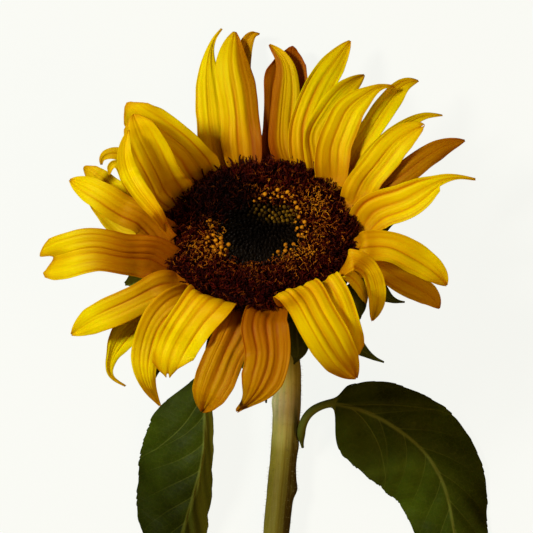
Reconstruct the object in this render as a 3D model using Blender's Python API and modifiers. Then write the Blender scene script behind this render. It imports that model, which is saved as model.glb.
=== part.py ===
"""Cut sunflower lying on a table, head tipped back and stem along -Y.

Metres, +Z up. All shapes are worked out in millimetres and scaled once, when
the mesh is made. The head's own frame is HEAD (the disc's centre), AXIS (out
of the flower's face), EAST and NORTH (in the plane of the disc).
"""
import math

import bmesh
import bpy
import numpy as np
from mathutils import Matrix, Vector

# ---------------------------------------------------------------- dimensions
UNIT = 0.38               # mm, one step of the layout grid used by the tables
DISC_RADIUS = 35.2        # mm, the florets' disc
CENTRE_RADIUS = 17.0      # mm, its sunken middle of unopened florets
HEAD_HEIGHT = 46.0        # mm, disc centre above the table
HEAD_TILT = 41.0          # degrees, face turned away from straight up
HEAD_TURN = 9.0           # degrees, the same turned about +Z
CLAW_RADIUS = 36.7        # mm, where petals spring from the rim
BRACT_RADIUS = 37.6       # mm, where bracts spring from the rim
PETAL_THICK = 0.8         # mm
BRACT_THICK = 0.9         # mm
CLEAR = 0.5               # mm, least air between neighbouring petals
STEM_RADIUS = 5.1         # mm, below the head
STEM_END_RADIUS = 4.5     # mm, at the cut
STEM_END = -280.0         # mm, the cut, along Y from the disc's centre
NECK_BACK = 31.0          # mm, depth of the head behind the disc plane

tilt, turn = math.radians(HEAD_TILT), math.radians(HEAD_TURN)
AXIS = np.array([-math.sin(tilt)*math.sin(turn), math.sin(tilt)*math.cos(turn), math.cos(tilt)])
EAST = np.array([math.cos(turn), math.sin(turn), 0.0])
NORTH = np.cross(AXIS, EAST)
HEAD = np.array([0.0, 0.0, HEAD_HEIGHT])
UP = np.array([0.0, 0.0, 1.0])
BOX_CENTRE = np.array([1.05, -100.5, 0.18])    # mm, brought to x = y = 0

# Half-width along a blade, base to tip, as a share of the largest.
SHAPES = {
    "lance": ([0, .06, .2, .4, .6, .78, .9, .97, 1], [.46, .6, .84, .97, 1, .83, .52, .25, .08]),
    "tail": ([0, .06, .2, .38, .54, .68, .8, .9, 1], [.46, .6, .86, 1, .96, .68, .36, .18, .08]),
    "tail2": ([0, .06, .2, .38, .5, .6, .7, .85, 1], [.46, .6, .86, 1, .96, .8, .45, .2, .06]),
    "blunt": ([0, .06, .2, .4, .6, .8, .92, 1], [.46, .6, .82, .95, 1, .98, .86, .6]),
    "round": ([0, .06, .2, .4, .6, .8, .92, 1], [.44, .6, .88, 1, .98, .85, .62, .25]),
    "horn": ([0, .06, .2, .42, .6, .72, .80, .87, .93, 1], [.46, .6, .86, 1, .86, .56, .32, .17, .12, .06]),
    "dart": ([0, .06, .2, .4, .58, .72, .84, .93, 1], [.46, .6, .86, 1, .92, .68, .42, .22, .06]),
    "hook": ([0, .06, .2, .38, .5, .6, .68, .78, .9, 1], [.46, .6, .86, 1, .95, .74, .46, .3, .18, .07]),
    "slim": ([0, .1, .25, .45, .62, .8, .92, 1], [.6, .7, .86, 1, .97, .78, .48, .1]),
    "bract": ([0, .1, .3, .5, .65, .8, .92, 1], [.8, .92, 1, .85, .6, .3, .12, .06]),
}

# Ray petals, lowest first, so that each one lies over those before it:
# name, angle on the rim, row (0 front, 1 back), width, shape, the midrib's
# points (grid x, grid y from the disc's centre, height in mm), options.
PETALS = [
    ("back_top", 86, 1, 8.5, "lance", [(-14, 110, 15), (-20, 150, 10), (-18, 182, 7), (-13, 197, 5.5), (-8, 203, 6.5), (-2, 203, 9)], {}),
    ("back_top_wide", 76, 1, 13.5, "round", [(17, 85, 19), (20, 120, 15), (25, 150, 12), (31, 174, 10), (34, 191, 8)], {}),
    ("top_shaded", 67, 0, 11.5, "lance", [(24, 90, 20), (24, 127, 17), (27, 161, 14), (22, 179, 12), (10, 192, 11)], {}),
    ("top_left_long", 105, 0, 12.5, "horn", [(-46, 95, 18), (-50.5, 130, 13), (-53, 160, 9.5), (-52.5, 178, 7.5), (-49.5, 192, 6), (-45, 201, 5.5), (-39.5, 208, 5)], {}),
    ("top_tall", 93, 0, 15.5, "lance", [(-20, 105, 17), (-24, 142, 12), (-29, 175, 9), (-26.5, 205, 6)], {}),
    ("back_left_hook", 147, 1, 6.5, "slim", [(-111, 35, 33), (-126, 63, 37), (-140, 80, 40), (-151, 81.5, 40), (-159, 77, 38), (-160, 70.5, 37)], {}),
    ("back_left_blunt", 165, 1, 10, "round", [(-116, 23, 36), (-139, 39, 35), (-159, 54, 33), (-178, 69, 30)], {}),
    ("back_left_lower", 182, 1, 11, "lance", [(-116, 0, 42), (-136, 8, 40), (-153, 21, 37), (-171, 31, 33)], {}),
    ("upper_left_fold", 118, 0, 16, "round", [(-76, 84, 33), (-94, 102, 40), (-110, 118, 45), (-121, 131, 45)], {}),
    ("upper_left_broad", 138, 0, 15, "round", [(-97, 58, 37), (-107, 85, 43), (-114, 106, 45.5), (-119, 120, 44.5)], {}),
    ("left_strip", 156, 1, 5.5, "slim", [(-113, 27, 38), (-131, 50, 43), (-142, 70, 46), (-149, 70, 46), (-151.6, 59.6, 44)], {}),
    ("left_long", 173, 0, 12, "lance", [(-113, 10, 43), (-136, 24, 49), (-158, 38, 51), (-176, 48, 48), (-191, 55, 41.5)], {}),
    ("left_narrow", 158, 0, 7.5, "lance", [(-106, 24, 41), (-121, 43, 46), (-133, 65, 51), (-136, 85, 53), (-132, 105, 52)], {"claw": (1.6, 1.0)}),
    ("upper_right_tall", 57, 0, 12, "lance", [(43, 100, 24), (50, 130, 22), (62, 155, 19), (75, 175, 16), (89.5, 195.5, 12)], {}),
    ("upper_right_tucked", 48, 0, 10, "lance", [(54, 95, 27), (63, 117, 27), (77, 137, 25), (91, 151, 22), (103.5, 161, 18)], {}),
    ("right_slender", 28, 0, 9.5, "lance", [(91, 75, 34), (104, 97, 34), (119, 120, 32), (132, 138, 28), (144, 151, 24), (158, 155, 20)], {}),
    ("back_right_curl", 20, 1, 7.5, "dart", [(104, 65, 34), (124, 92, 34), (144, 109, 33), (163, 119, 30), (182, 120, 27)], {}),
    ("back_right_dark", 4, 1, 9.5, "lance", [(111, 35, 42), (134, 55, 44), (159, 74, 44), (184, 89, 41), (204, 94.7, 38)], {}),
    ("right_upper_broad", 38, 0, 13.5, "tail", [(72, 80, 32), (79, 105, 33), (89, 125, 33), (103, 138, 31), (119, 148, 27), (133, 149, 24)], {}),
    ("right_broad", 14, 0, 13, "lance", [(101, 47, 42), (117, 70, 45), (133, 90, 47), (151, 104, 47), (164, 110.5, 46)], {}),
    ("right_pointed", 355, 0, 14.5, "tail2", [(114, 22, 51), (139, 32, 54), (164, 45, 56), (189, 56, 55), (214, 55.4, 52)], {}),
    ("back_right_lower", 330, 1, 10.5, "lance", [(111, -30, 56), (134, -41, 55), (154, -52, 52), (169, -61, 48), (178.6, -73, 43)], {}),
    ("lower_right_broad", 340, 0, 12.5, "lance", [(104, -12, 59), (124, -11, 62), (144, -18, 62), (163, -29, 59), (177, -40, 56), (185, -50.4, 52)], {}),
    ("lower_right_strap", 313, 1, 5, "slim", [(81, -38, 69), (90, -42, 70), (99, -53, 66), (105, -68, 59)], {"claw": (.8, 5.0), "cup": (.1, .3, .35)}),
    ("lower_right_hanging", 324, 0, 7.5, "slim", [(93, -25, 68), (104, -30, 69), (112.5, -44, 65), (115.5, -60, 58), (114.5, -74, 51), (111.4, -85.3, 45)], {"claw": (2.5, 3.0), "cup": (.08, .2, .3)}),
    ("left_broad", 191, 0, 17, "blunt", [(-111, -24, 51.5), (-136, -20, 57), (-163, -15, 59), (-191, -20, 55), (-219, -28, 46.5)], {}),
    ("back_lower_left_curl", 202, 1, 11.5, "hook", [(-111, -77, 54), (-129, -92, 50.5), (-142, -108, 46), (-150, -125, 40), (-150, -140, 34.5), (-136, -151, 30.5)], {}),
    ("lower_left_long", 207, 0, 12.5, "lance", [(-101, -54, 61), (-123, -64, 62), (-146, -75, 59), (-169, -86, 53), (-189.4, -99.5, 45)], {}),
    ("lower_left_arched", 220, 0, 12, "dart", [(-81, -67, 65), (-99, -80, 67), (-112, -105, 63), (-116, -133, 55), (-110, -155, 48), (-101, -170.7, 42)], {}),
    ("bottom_dark", 252, 0, 16.5, "lance", [(-21, -90, 72), (-32, -112, 70), (-42, -135, 64), (-51, -157, 56), (-59, -176, 47)], {}),
    ("bottom_left_broad", 236, 0, 17.5, "round", [(-54, -68, 74), (-68, -85, 73), (-82, -107, 67.5), (-90.5, -127, 60), (-92, -143, 53)], {"claw": (1.5, 5.0), "cup": (.1, .35, .35)}),
    ("bottom_wide", 268, 0, 17.5, "tail", [(5, -88, 75), (7, -112, 75), (3, -137, 70), (-8, -159, 60), (-24, -176, 49)], {}),
    ("bottom_right_lobe", 302, 0, 12, "round", [(64, -47, 76.5), (71, -57, 79.5), (79, -75, 78), (87, -97, 73.5), (96.5, -120, 64)], {"claw": (2.5, 4.0), "cup": (.08, .25, .35)}),
    ("bottom_right_long", 285, 0, 17, "lance", [(34, -55, 77), (42, -60, 81), (52.5, -78, 81.5), (64, -98, 79), (77.5, -120, 72), (94.5, -143, 60)], {"claw": (1.5, 4.0), "cup": (.06, .22, .35)}),
]

# Bracts behind the petals: angle on the rim, width, then either None for the
# common shape or the midrib's own points.
BRACTS = [
    (2, 10.5, [(116, 8, 42), (125, 9, 40), (133, 12, 38)]), (21, 10.5, None), (42, 10, None), (63, 10, None), (84, 10, None),
    (105, 10, None), (126, 10, None), (147, 10, None), (168, 10.5, [(-118, 2, 38), (-134, -2, 33), (-146, -4, 27)]),
    (200, 14, [(-102, -52, 50), (-120, -45, 46), (-136, -49, 40)]),
    (222, 10.5, None), (242, 10.5, None), (263, 10, None),
    (284, 9.5, [(36, -103, 60), (37, -116, 54), (33, -129, 44)]),
    (301, 9.5, [(73, -90, 58), (88, -104, 52), (101, -115, 47), (113, -123, 43), (123, -127.4, 41)]),
    (319, 9.5, [(92, -64, 56), (97, -74, 52), (99, -84, 46)]),
    (338, 9.5, [(108, -46, 52), (121, -58, 49), (132, -65, 47), (143.7, -67, 46)]),
]

# Leaves: petiole and blade as one lofted body. Each station is
# (grid x, grid y, height mm, half-width on the left, on the right, drop of
# the left edge, drop of the right edge, thickness), left and right as seen
# looking along the leaf from its stalk.
LEAVES = {
    "leaf_right": [
        (42, -214, 7.0, 1.5, 1.5, 0, 0, 3.0), (40.5, -201, 9.5, 1.6, 1.6, 0, 0, 3.2),
        (44, -186, 12.5, 1.6, 1.6, 0, 0, 3.2), (54, -175, 14.5, 1.6, 1.6, 0, 0, 3.2),
        (68, -169.5, 15.5, 1.6, 1.6, 0, 0, 3.0), (76, -170, 15.8, 3.5, 4.0, .3, .5, 2.4),
        (81, -171, 16.0, 7.0, 12.0, 1.0, 3.0, 1.8), (90, -173, 16.2, 9.5, 17.5, 1.8, 6.0, 1.4),
        (104, -177.5, 16.4, 12.5, 19.5, 3.0, 7.5, 1.2), (124, -187, 16.0, 15.5, 20.5, 4.5, 8.5, 1.1),
        (145, -201, 15.0, 17.0, 21.5, 6.5, 9.5, 1.0), (163, -217, 13.8, 17.5, 21.5, 8.0, 9.5, 1.0),
        (177, -237, 12.2, 17.0, 20.5, 8.5, 9.0, 1.0), (187, -261, 10.4, 16.0, 18.0, 8.0, 7.5, 1.0),
        (193, -290, 8.6, 14.0, 15.0, 7.0, 6.0, 1.0), (199, -322, 6.4, 9.5, 10.5, 4.8, 4.4, 1.0),
        (206, -350, 3.8, 4.2, 4.8, 2.4, 2.2, 1.0), (212, -368, 2.0, .8, .8, .2, .2, .9),
    ],
    "leaf_left": [
        (7.6, -160, 6.5, 1.5, 1.5, 0, 0, 3.0), (2, -146, 10.0, 1.6, 1.6, 0, 0, 3.2),
        (-12, -133, 14.0, 1.6, 1.6, 0, 0, 3.2), (-29, -127, 17.0, 1.6, 1.6, 0, 0, 3.2),
        (-45, -131, 19.0, 1.6, 1.8, 0, 0, 3.0), (-53.5, -144, 19.4, 2.0, 4.2, 1.5, 1.0, 2.2),
        (-56, -157, 19.6, 2.6, 9.5, 6.0, 3.0, 1.6), (-56.5, -166, 19.6, 3.0, 14.5, 10.0, 5.5, 1.3),
        (-56.5, -180, 19.6, 3.2, 19.2, 14.0, 9.0, 1.1), (-57, -207, 19.0, 3.2, 22.8, 16.5, 12.5, 1.0),
        (-60.5, -234, 17.6, 4.0, 23.8, 15.6, 13.2, 1.0),
        (-66, -254.5, 15.8, 6.0, 23.2, 13.8, 12.6, 1.0), (-72, -275, 13.6, 8.0, 21.6, 11.6, 11.2, 1.0),
        (-79, -298, 11.0, 9.6, 17.6, 9.2, 8.9, 1.0), (-88, -326, 7.8, 7.6, 10.6, 6.0, 5.2, 1.0),
        (-98, -352, 4.6, 4.0, 5.2, 2.8, 2.6, 1.0), (-107, -371, 2.2, .8, .8, .2, .2, .9),
    ],
}


# ------------------------------------------------------------------ geometry
def on_head(radius, angle, out):
    a = math.radians(angle)
    return HEAD + radius*(math.cos(a)*EAST + math.sin(a)*NORTH) + out*AXIS


def smooth(t):
    t = np.clip(t, 0, 1)
    return t*t*(3 - 2*t)


def through(points, n):
    """n points evenly along a smooth curve through the given ones."""
    p = np.asarray(points, float)
    k = np.concatenate([[0], np.cumsum(np.linalg.norm(np.diff(p[:, :3], axis=0), axis=1)**0.5)])
    h = np.diff(k)
    m = len(p)
    a = np.zeros((m, m))
    r = np.zeros(p.shape)
    a[0, 0] = a[-1, -1] = 1
    for i in range(1, m - 1):
        a[i, i-1], a[i, i], a[i, i+1] = h[i-1], 2*(h[i-1] + h[i]), h[i]
        r[i] = 6*((p[i+1] - p[i])/h[i] - (p[i] - p[i-1])/h[i-1])
    c = np.linalg.solve(a, r)
    t = np.linspace(0, k[-1], 400)
    i = np.clip(np.searchsorted(k, t) - 1, 0, m - 2)
    u = ((k[i+1] - t)/h[i])[:, None]
    w = ((t - k[i])/h[i])[:, None]
    f = u*p[i] + w*p[i+1] + ((u**3 - u)*c[i] + (w**3 - w)*c[i+1])*(h[i]**2)[:, None]/6
    s = np.concatenate([[0], np.cumsum(np.linalg.norm(np.diff(f[:, :3], axis=0), axis=1))])
    at = np.linspace(0, s[-1], n)
    return np.stack([np.interp(at, s, f[:, q]) for q in range(p.shape[1])], 1)


def blade(path, width, shape, rows, cols, cup=(.7, .45, .35), notch=()):
    """Mid surface of a petal or bract as a (rows, cols, 3) grid."""
    s = np.linspace(0, 1, 400)
    c = through(path, 400)
    t = np.gradient(c, axis=0)
    t /= np.linalg.norm(t, axis=1)[:, None]
    kx, ky = SHAPES[shape]
    w = np.interp(s, kx, ky)
    k = np.hanning(41)
    k /= k.sum()
    soft = np.convolve(np.pad(w, 20, mode="edge"), k, mode="valid")
    f = smooth((s - 0.93)/0.05)
    w = (soft*(1 - f) + w*f)*width/2
    n = np.zeros_like(c)
    radial = path[0] - HEAD
    radial = radial - (radial @ AXIS)*AXIS
    radial /= np.linalg.norm(radial)
    q = (t[0] @ radial)*AXIS - (t[0] @ AXIS)*radial      # the face towards the flower's middle
    for i in range(400):
        q = q - (q @ t[i])*t[i]
        q /= np.linalg.norm(q)
        want = UP - (UP @ t[i])*t[i]
        if np.linalg.norm(want) > .2 and q @ want > 0.3*np.linalg.norm(want):
            q = q + want*0.03
            q = q - (q @ t[i])*t[i]
            q /= np.linalg.norm(q)
        n[i] = q
    side = np.cross(t, n)
    bend = np.interp(s, [0, .5, 1], cup)
    across = np.linspace(-1, 1, cols)
    end = np.ones(cols)
    for v0, depth, wide in notch:
        end -= depth*np.clip(1 - np.abs(across - v0)/wide, 0, 1)
    grid = np.zeros((rows, cols, 3))
    for j, v in enumerate(across):
        u = np.linspace(0, 1, rows)*end[j]
        at = u*399
        i = np.clip(at.astype(int), 0, 398)
        g = (at - i)[:, None]
        cj, sj, nj = (z[i]*(1 - g) + z[i+1]*g for z in (c, side, n))
        b = np.interp(u, s, bend)
        ww = np.interp(u, s, w)
        grid[:, j] = cj + sj*(ww*np.sin(b*v)/b)[:, None] + nj*(ww*(1 - np.cos(b*v))/b)[:, None]
    return grid


def steepness(g):
    n = np.cross(np.gradient(g, axis=1), np.gradient(g, axis=0))
    return np.abs(n[..., 2])/np.maximum(np.linalg.norm(n, axis=2), 1e-9)


class Heights:
    """The highest surface laid down so far, on a square grid of 0.5 mm."""

    def __init__(self, size=300, step=0.5):
        self.step, self.half = step, size/2
        self.z = np.full((int(size/step),)*2, -1e3)

    def cell(self, v):
        return ((v + self.half)/self.step).astype(int)

    def add(self, g):
        for i in range(g.shape[0] - 1):
            for j in range(g.shape[1] - 1):
                q = g[i:i+2, j:j+2]
                d = max(np.abs(q[0, 0] - q[1, 1]).max(), np.abs(q[0, 1] - q[1, 0]).max())
                a = np.linspace(0, 1, max(2, int(math.ceil(d/self.step*1.3))) + 1)
                x, y = np.meshgrid(a, a, indexing="ij")
                x, y = x[..., None], y[..., None]
                p = (q[0, 0]*(1-x)*(1-y) + q[0, 1]*(1-x)*y + q[1, 0]*x*(1-y) + q[1, 1]*x*y).reshape(-1, 3)
                np.maximum.at(self.z, (self.cell(p[:, 0]), self.cell(p[:, 1])), p[:, 2])

    def near(self, g, reach):
        x, y = self.cell(g[..., 0]), self.cell(g[..., 1])
        best = np.full(g.shape[:2], -1e3)
        for i in range(-reach, reach + 1):
            for j in range(-reach, reach + 1):
                best = np.maximum(best, self.z[x+i, y+j])
        return best


def laid_over(g, heights, gap):
    """Raises a blade row by row, smoothly, until it clears what is under it."""
    g = g.copy()
    k = np.array([.06, .24, .4, .24, .06])
    first = int(len(g)*0.12)
    for _ in range(80):
        under = heights.near(g, 2)
        under[:first] = heights.near(g[:first], 1)
        need = under + gap/np.clip(steepness(g), .35, 1) - g[..., 2]
        row = np.clip(need, 0, None).max(axis=1)
        if row.max() <= 0.02:
            break
        pad = np.pad(row, 1)
        wide = np.maximum(row, np.maximum(pad[2:], pad[:-2])*0.8)
        for _ in range(2):
            wide = np.maximum(row, np.convolve(np.pad(wide, 2, mode="edge"), k, mode="valid"))
        g[..., 2] += np.minimum(wide, 1.0)[:, None]
    return g


def settled(g, floor=0.9):
    """Bends a blade that would pass through the table up along it."""
    g = g.copy()
    z = g[..., 2]
    g[..., 2] = floor + np.where(z > floor + 8, z - floor, 4*np.log1p(np.exp(np.clip((z - floor - 1)/4, -30, 30))))
    g[..., 2] = np.maximum(g[..., 2], floor)
    return g


def bract_grid(angle, width, points, rows, cols):
    base = on_head(BRACT_RADIUS, angle, -8.8)
    if points:
        path = [base] + [np.array([x*UNIT, y*UNIT, z]) for x, y, z in points]
    else:
        path = [base] + [on_head(r, angle, h) for r, h in ((43, -10.5), (51, -13), (59, -17), (65, -22))]
    return settled(blade(path, width, "bract", rows, cols, cup=(.5, .4, .5)))


def petal_grid(spec, rows, cols):
    _, angle, row, width, shape, points, options = spec
    out, rise = options.get("claw", (3.5, .6))
    depth = -1.5 - 3.0*row
    path = [on_head(CLAW_RADIUS, angle, depth), on_head(CLAW_RADIUS + out, angle, depth + rise)]
    path += [np.array([x*UNIT, y*UNIT, z]) for x, y, z in points]
    return blade(path, width, shape, rows, cols, options.get("cup", (.7, .45, .35)), options.get("notch", ()))


def neck_path():
    """Centre line and radius from the disc's back to the cut end."""
    line, radius = [], []
    for depth, r in ((4.6, 34.4), (6.5, 35.2), (9, 35.0), (12, 33.0), (15.5, 28.6), (19, 22.6),
                     (22.5, 16.6), (26, 11.6), (NECK_BACK, 7.6)):
        line.append(HEAD - AXIS*depth)
        radius.append(r)
    # from the neck, a smooth bend down on to the table
    start = HEAD - AXIS*NECK_BACK
    mid = [start, start - AXIS*7, np.array([6.5, -34.0, 10.6]), np.array([9.6, -48.0, 6.6]),
           np.array([9.9, -64.0, 5.5]), np.array([9.0, -80.0, 5.35]), np.array([7.6, -96.0, 5.25]),
           np.array([5.8, -114.0, 5.2]), np.array([4.4, -140.0, 5.1]), np.array([4.0, -175.0, 5.0]),
           np.array([6.0, -215.0, 4.9]), np.array([9.0, -250.0, 4.8]), np.array([11.0, STEM_END, 4.8])]
    curve = through(mid, 44)[1:]
    s = np.linspace(0, 1, 44)[1:]
    for p, t in zip(curve, s):
        line.append(p)
        radius.append(np.interp(t, [0, .04, .1, .25, 1], [7.6, 6.3, 5.4, STEM_RADIUS, STEM_END_RADIUS]))
    return line, radius


def leaf_sections(stations, rings, cols):
    """Closed sections of a leaf, each a loop of points round petiole or blade."""
    p = np.array([[x*UNIT, y*UNIT, z, a, b, da, db, t] for x, y, z, a, b, da, db, t in stations])
    s = through(p, rings)
    c = s[:, :3]
    t = np.gradient(c, axis=0)
    t /= np.linalg.norm(t, axis=1)[:, None]
    side = np.cross(t, UP)
    side /= np.linalg.norm(side, axis=1)[:, None]
    n = np.cross(side, t)
    across = np.linspace(-1, 1, cols)
    loops = []
    for i in range(rings):
        left, right, dl, dr, th = np.clip(s[i, 3:], [.5, .5, 0, 0, .8], None)
        top, low = [], []
        flat = min(1.0, max(left, right)/12)
        for v in across:
            w = right*v if v > 0 else left*v
            drop = dr if v > 0 else dl
            mid = c[i] + side[i]*w - UP*drop*1.07*abs(v)**1.6
            slope = side[i]*(right if v > 0 else left) - UP*drop*1.07*1.6*abs(v)**.6*(1 if v > 0 else -1)
            face = np.cross(slope, t[i])
            face /= np.linalg.norm(face)
            h = th/2*(math.sqrt(max(0, 1 - v*v))*(1 - flat) + flat*(0.9 - .45*abs(v)))*face
            top.append(mid + h)
            low.append(mid - h)
        loops.append(np.array(top + low[::-1]))
    return loops


# -------------------------------------------------------------- object making
for old in list(bpy.data.objects):
    bpy.data.objects.remove(old, do_unlink=True)
parts = bpy.data.collections.new("cut_sunflower")
bpy.context.scene.collection.children.link(parts)


def metres(p):
    return [float(v)*0.001 for v in (np.asarray(p) - BOX_CENTRE)]


def material(name, colour, roughness):
    m = bpy.data.materials.new(name)
    m.use_nodes = True
    b = m.node_tree.nodes["Principled BSDF"]
    b.inputs["Base Color"].default_value = (*colour, 1)
    b.inputs["Roughness"].default_value = roughness
    b.inputs["Metallic"].default_value = 0.0
    m.diffuse_color = (*colour, 1)
    return m


def finish(obj, colour, roughness):
    parts.objects.link(obj)
    obj.data.materials.append(material(obj.name + "_colour", colour, roughness))
    return obj


def shell(name, grid, thickness, colour, roughness):
    """An open sheet of quads through the grid, thickened with Solidify."""
    rows, cols = grid.shape[:2]
    bm = bmesh.new()
    v = [[bm.verts.new(metres(grid[i, j])) for j in range(cols)] for i in range(rows)]
    for i in range(rows - 1):
        for j in range(cols - 1):
            bm.faces.new((v[i][j], v[i][j+1], v[i+1][j+1], v[i+1][j]))
    mesh = bpy.data.meshes.new(name)
    bm.to_mesh(mesh)
    bm.free()
    mesh.shade_smooth()
    obj = bpy.data.objects.new(name, mesh)
    finish(obj, colour, roughness)
    s = obj.modifiers.new("thickness", "SOLIDIFY")
    s.thickness = thickness*0.001
    s.offset = 0.0
    return obj


def loft(name, loops, colour, roughness):
    """A closed body through loops with equal numbers of points."""
    bm = bmesh.new()
    rings = [[bm.verts.new(metres(p)) for p in loop] for loop in loops]
    m = len(rings[0])
    for a, b in zip(rings, rings[1:]):
        for j in range(m):
            bm.faces.new((a[j], a[(j+1) % m], b[(j+1) % m], b[j]))
    half = m//2
    for ring, flip in ((rings[0], True), (rings[-1], False)):
        for j in range(half - 1):
            f = (ring[j], ring[j+1], ring[m-2-j], ring[m-1-j])
            bm.faces.new(f[::-1] if flip else f)
    bmesh.ops.recalc_face_normals(bm, faces=bm.faces)
    mesh = bpy.data.meshes.new(name)
    bm.to_mesh(mesh)
    bm.free()
    mesh.shade_smooth()
    return finish(bpy.data.objects.new(name, mesh), colour, roughness)


def turned(name, profile, sides, colour, roughness):
    """A profile of (radius, height along AXIS), turned about the head's axis."""
    mesh = bpy.data.meshes.new(name)
    mesh.from_pydata([(r*0.001, 0, h*0.001) for r, h in profile],
                     [(i, i+1) for i in range(len(profile) - 1)], [])
    obj = bpy.data.objects.new(name, mesh)
    finish(obj, colour, roughness)
    s = obj.modifiers.new("turn", "SCREW")
    s.steps = s.render_steps = sides
    s.use_merge_vertices = True
    s.merge_threshold = 0.00001
    rot = Matrix((EAST, NORTH, AXIS)).transposed().to_4x4()
    obj.matrix_world = Matrix.Translation(Vector(metres(HEAD))) @ rot
    return obj


def tube(name, line, radii, sides, colour, roughness):
    """A curve with a round bevel whose radius follows the given list."""
    curve = bpy.data.curves.new(name, "CURVE")
    curve.dimensions = "3D"
    curve.bevel_depth = 0.001
    curve.bevel_resolution = sides//2 - 2
    curve.use_fill_caps = True
    spline = curve.splines.new("POLY")
    spline.points.add(len(line) - 1)
    for point, p, r in zip(spline.points, line, radii):
        point.co = (*metres(p), 1)
        point.radius = float(r)
    return finish(bpy.data.objects.new(name, curve), colour, roughness)


# ---------------------------------------------------------------- the flower
line, radii = neck_path()
tube("stem", line, radii, 20, (.30, .31, .06), .6)

turned("disc_open_florets", [(CENTRE_RADIUS + .4, 1.0), (22, 2.6), (28, 3.2), (33, 2.6), (DISC_RADIUS, .6),
                             (DISC_RADIUS - .2, -2.4), (33.5, -4.2), (CENTRE_RADIUS + .4, -4.2),
                             (CENTRE_RADIUS + .4, 1.0)], 40, (.045, .008, .006), .8)
turned("disc_centre_buds", [(0, -2.6), (6, -2.0), (11, -.4), (CENTRE_RADIUS, 1.2), (CENTRE_RADIUS, -4.2), (0, -4.2)],
       32, (.02, .012, .008), .8)

laid = Heights()
for k, (angle, width, points) in enumerate(BRACTS):
    g = bract_grid(angle, width, points, 9, 4)
    laid.add(g)
    shell("bract_%02d" % (k + 1), g, BRACT_THICK, (.10, .15, .03), .6)

for spec in PETALS:
    g = laid_over(petal_grid(spec, 25, 7), laid, PETAL_THICK + CLEAR)
    laid.add(g)
    shell("petal_" + spec[0], g[::2, ::2], PETAL_THICK, (.83, .55, .01), .5)

for name, stations in LEAVES.items():
    loft(name, leaf_sections(stations, 34, 9), (.035, .06, .012), .5)
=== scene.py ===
"""The looks of a cut sunflower that lies with its head tipped back."""
import math

import bmesh
import bpy
import numpy as np
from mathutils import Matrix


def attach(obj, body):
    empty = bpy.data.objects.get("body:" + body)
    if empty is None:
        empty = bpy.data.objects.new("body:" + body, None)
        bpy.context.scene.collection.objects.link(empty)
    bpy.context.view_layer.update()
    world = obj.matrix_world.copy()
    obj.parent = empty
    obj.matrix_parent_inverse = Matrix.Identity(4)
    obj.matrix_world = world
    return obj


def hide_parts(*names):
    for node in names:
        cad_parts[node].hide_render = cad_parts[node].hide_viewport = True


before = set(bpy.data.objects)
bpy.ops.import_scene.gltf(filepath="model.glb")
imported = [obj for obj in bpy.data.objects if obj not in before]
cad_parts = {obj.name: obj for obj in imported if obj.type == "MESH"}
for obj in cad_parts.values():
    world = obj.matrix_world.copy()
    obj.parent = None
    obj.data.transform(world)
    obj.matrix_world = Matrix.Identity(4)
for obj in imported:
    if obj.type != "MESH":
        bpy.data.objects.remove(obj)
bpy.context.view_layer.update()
MAKE = bpy.context.scene.collection

# ------------------------------------------------- the same layout as the CAD
UNIT = 0.38
DISC_RADIUS = 35.2
CENTRE_RADIUS = 17.0
HEAD_HEIGHT = 46.0
HEAD_TILT = 41.0
HEAD_TURN = 9.0
CLAW_RADIUS = 36.7
BRACT_RADIUS = 37.6
PETAL_THICK = 0.8
CLEAR = 0.5
STEM_RADIUS = 5.1
STEM_END_RADIUS = 4.5
STEM_END = -280.0
NECK_BACK = 31.0

tilt, turn = math.radians(HEAD_TILT), math.radians(HEAD_TURN)
AXIS = np.array([-math.sin(tilt)*math.sin(turn), math.sin(tilt)*math.cos(turn), math.cos(tilt)])
EAST = np.array([math.cos(turn), math.sin(turn), 0.0])
NORTH = np.cross(AXIS, EAST)
HEAD = np.array([0.0, 0.0, HEAD_HEIGHT])
UP = np.array([0.0, 0.0, 1.0])
BOX_CENTRE = np.array([1.05, -100.5, 0.18])

# Half-width along a blade, base to tip, as a share of the largest.
SHAPES = {
    "lance": ([0, .06, .2, .4, .6, .78, .9, .97, 1], [.46, .6, .84, .97, 1, .83, .52, .25, .08]),
    "tail": ([0, .06, .2, .38, .54, .68, .8, .9, 1], [.46, .6, .86, 1, .96, .68, .36, .18, .08]),
    "tail2": ([0, .06, .2, .38, .5, .6, .7, .85, 1], [.46, .6, .86, 1, .96, .8, .45, .2, .06]),
    "blunt": ([0, .06, .2, .4, .6, .8, .92, 1], [.46, .6, .82, .95, 1, .98, .86, .6]),
    "round": ([0, .06, .2, .4, .6, .8, .92, 1], [.44, .6, .88, 1, .98, .85, .62, .25]),
    "horn": ([0, .06, .2, .42, .6, .72, .80, .87, .93, 1], [.46, .6, .86, 1, .86, .56, .32, .17, .12, .06]),
    "dart": ([0, .06, .2, .4, .58, .72, .84, .93, 1], [.46, .6, .86, 1, .92, .68, .42, .22, .06]),
    "hook": ([0, .06, .2, .38, .5, .6, .68, .78, .9, 1], [.46, .6, .86, 1, .95, .74, .46, .3, .18, .07]),
    "slim": ([0, .1, .25, .45, .62, .8, .92, 1], [.6, .7, .86, 1, .97, .78, .48, .1]),
    "bract": ([0, .1, .3, .5, .65, .8, .92, 1], [.8, .92, 1, .85, .6, .3, .12, .06]),
}

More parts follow.
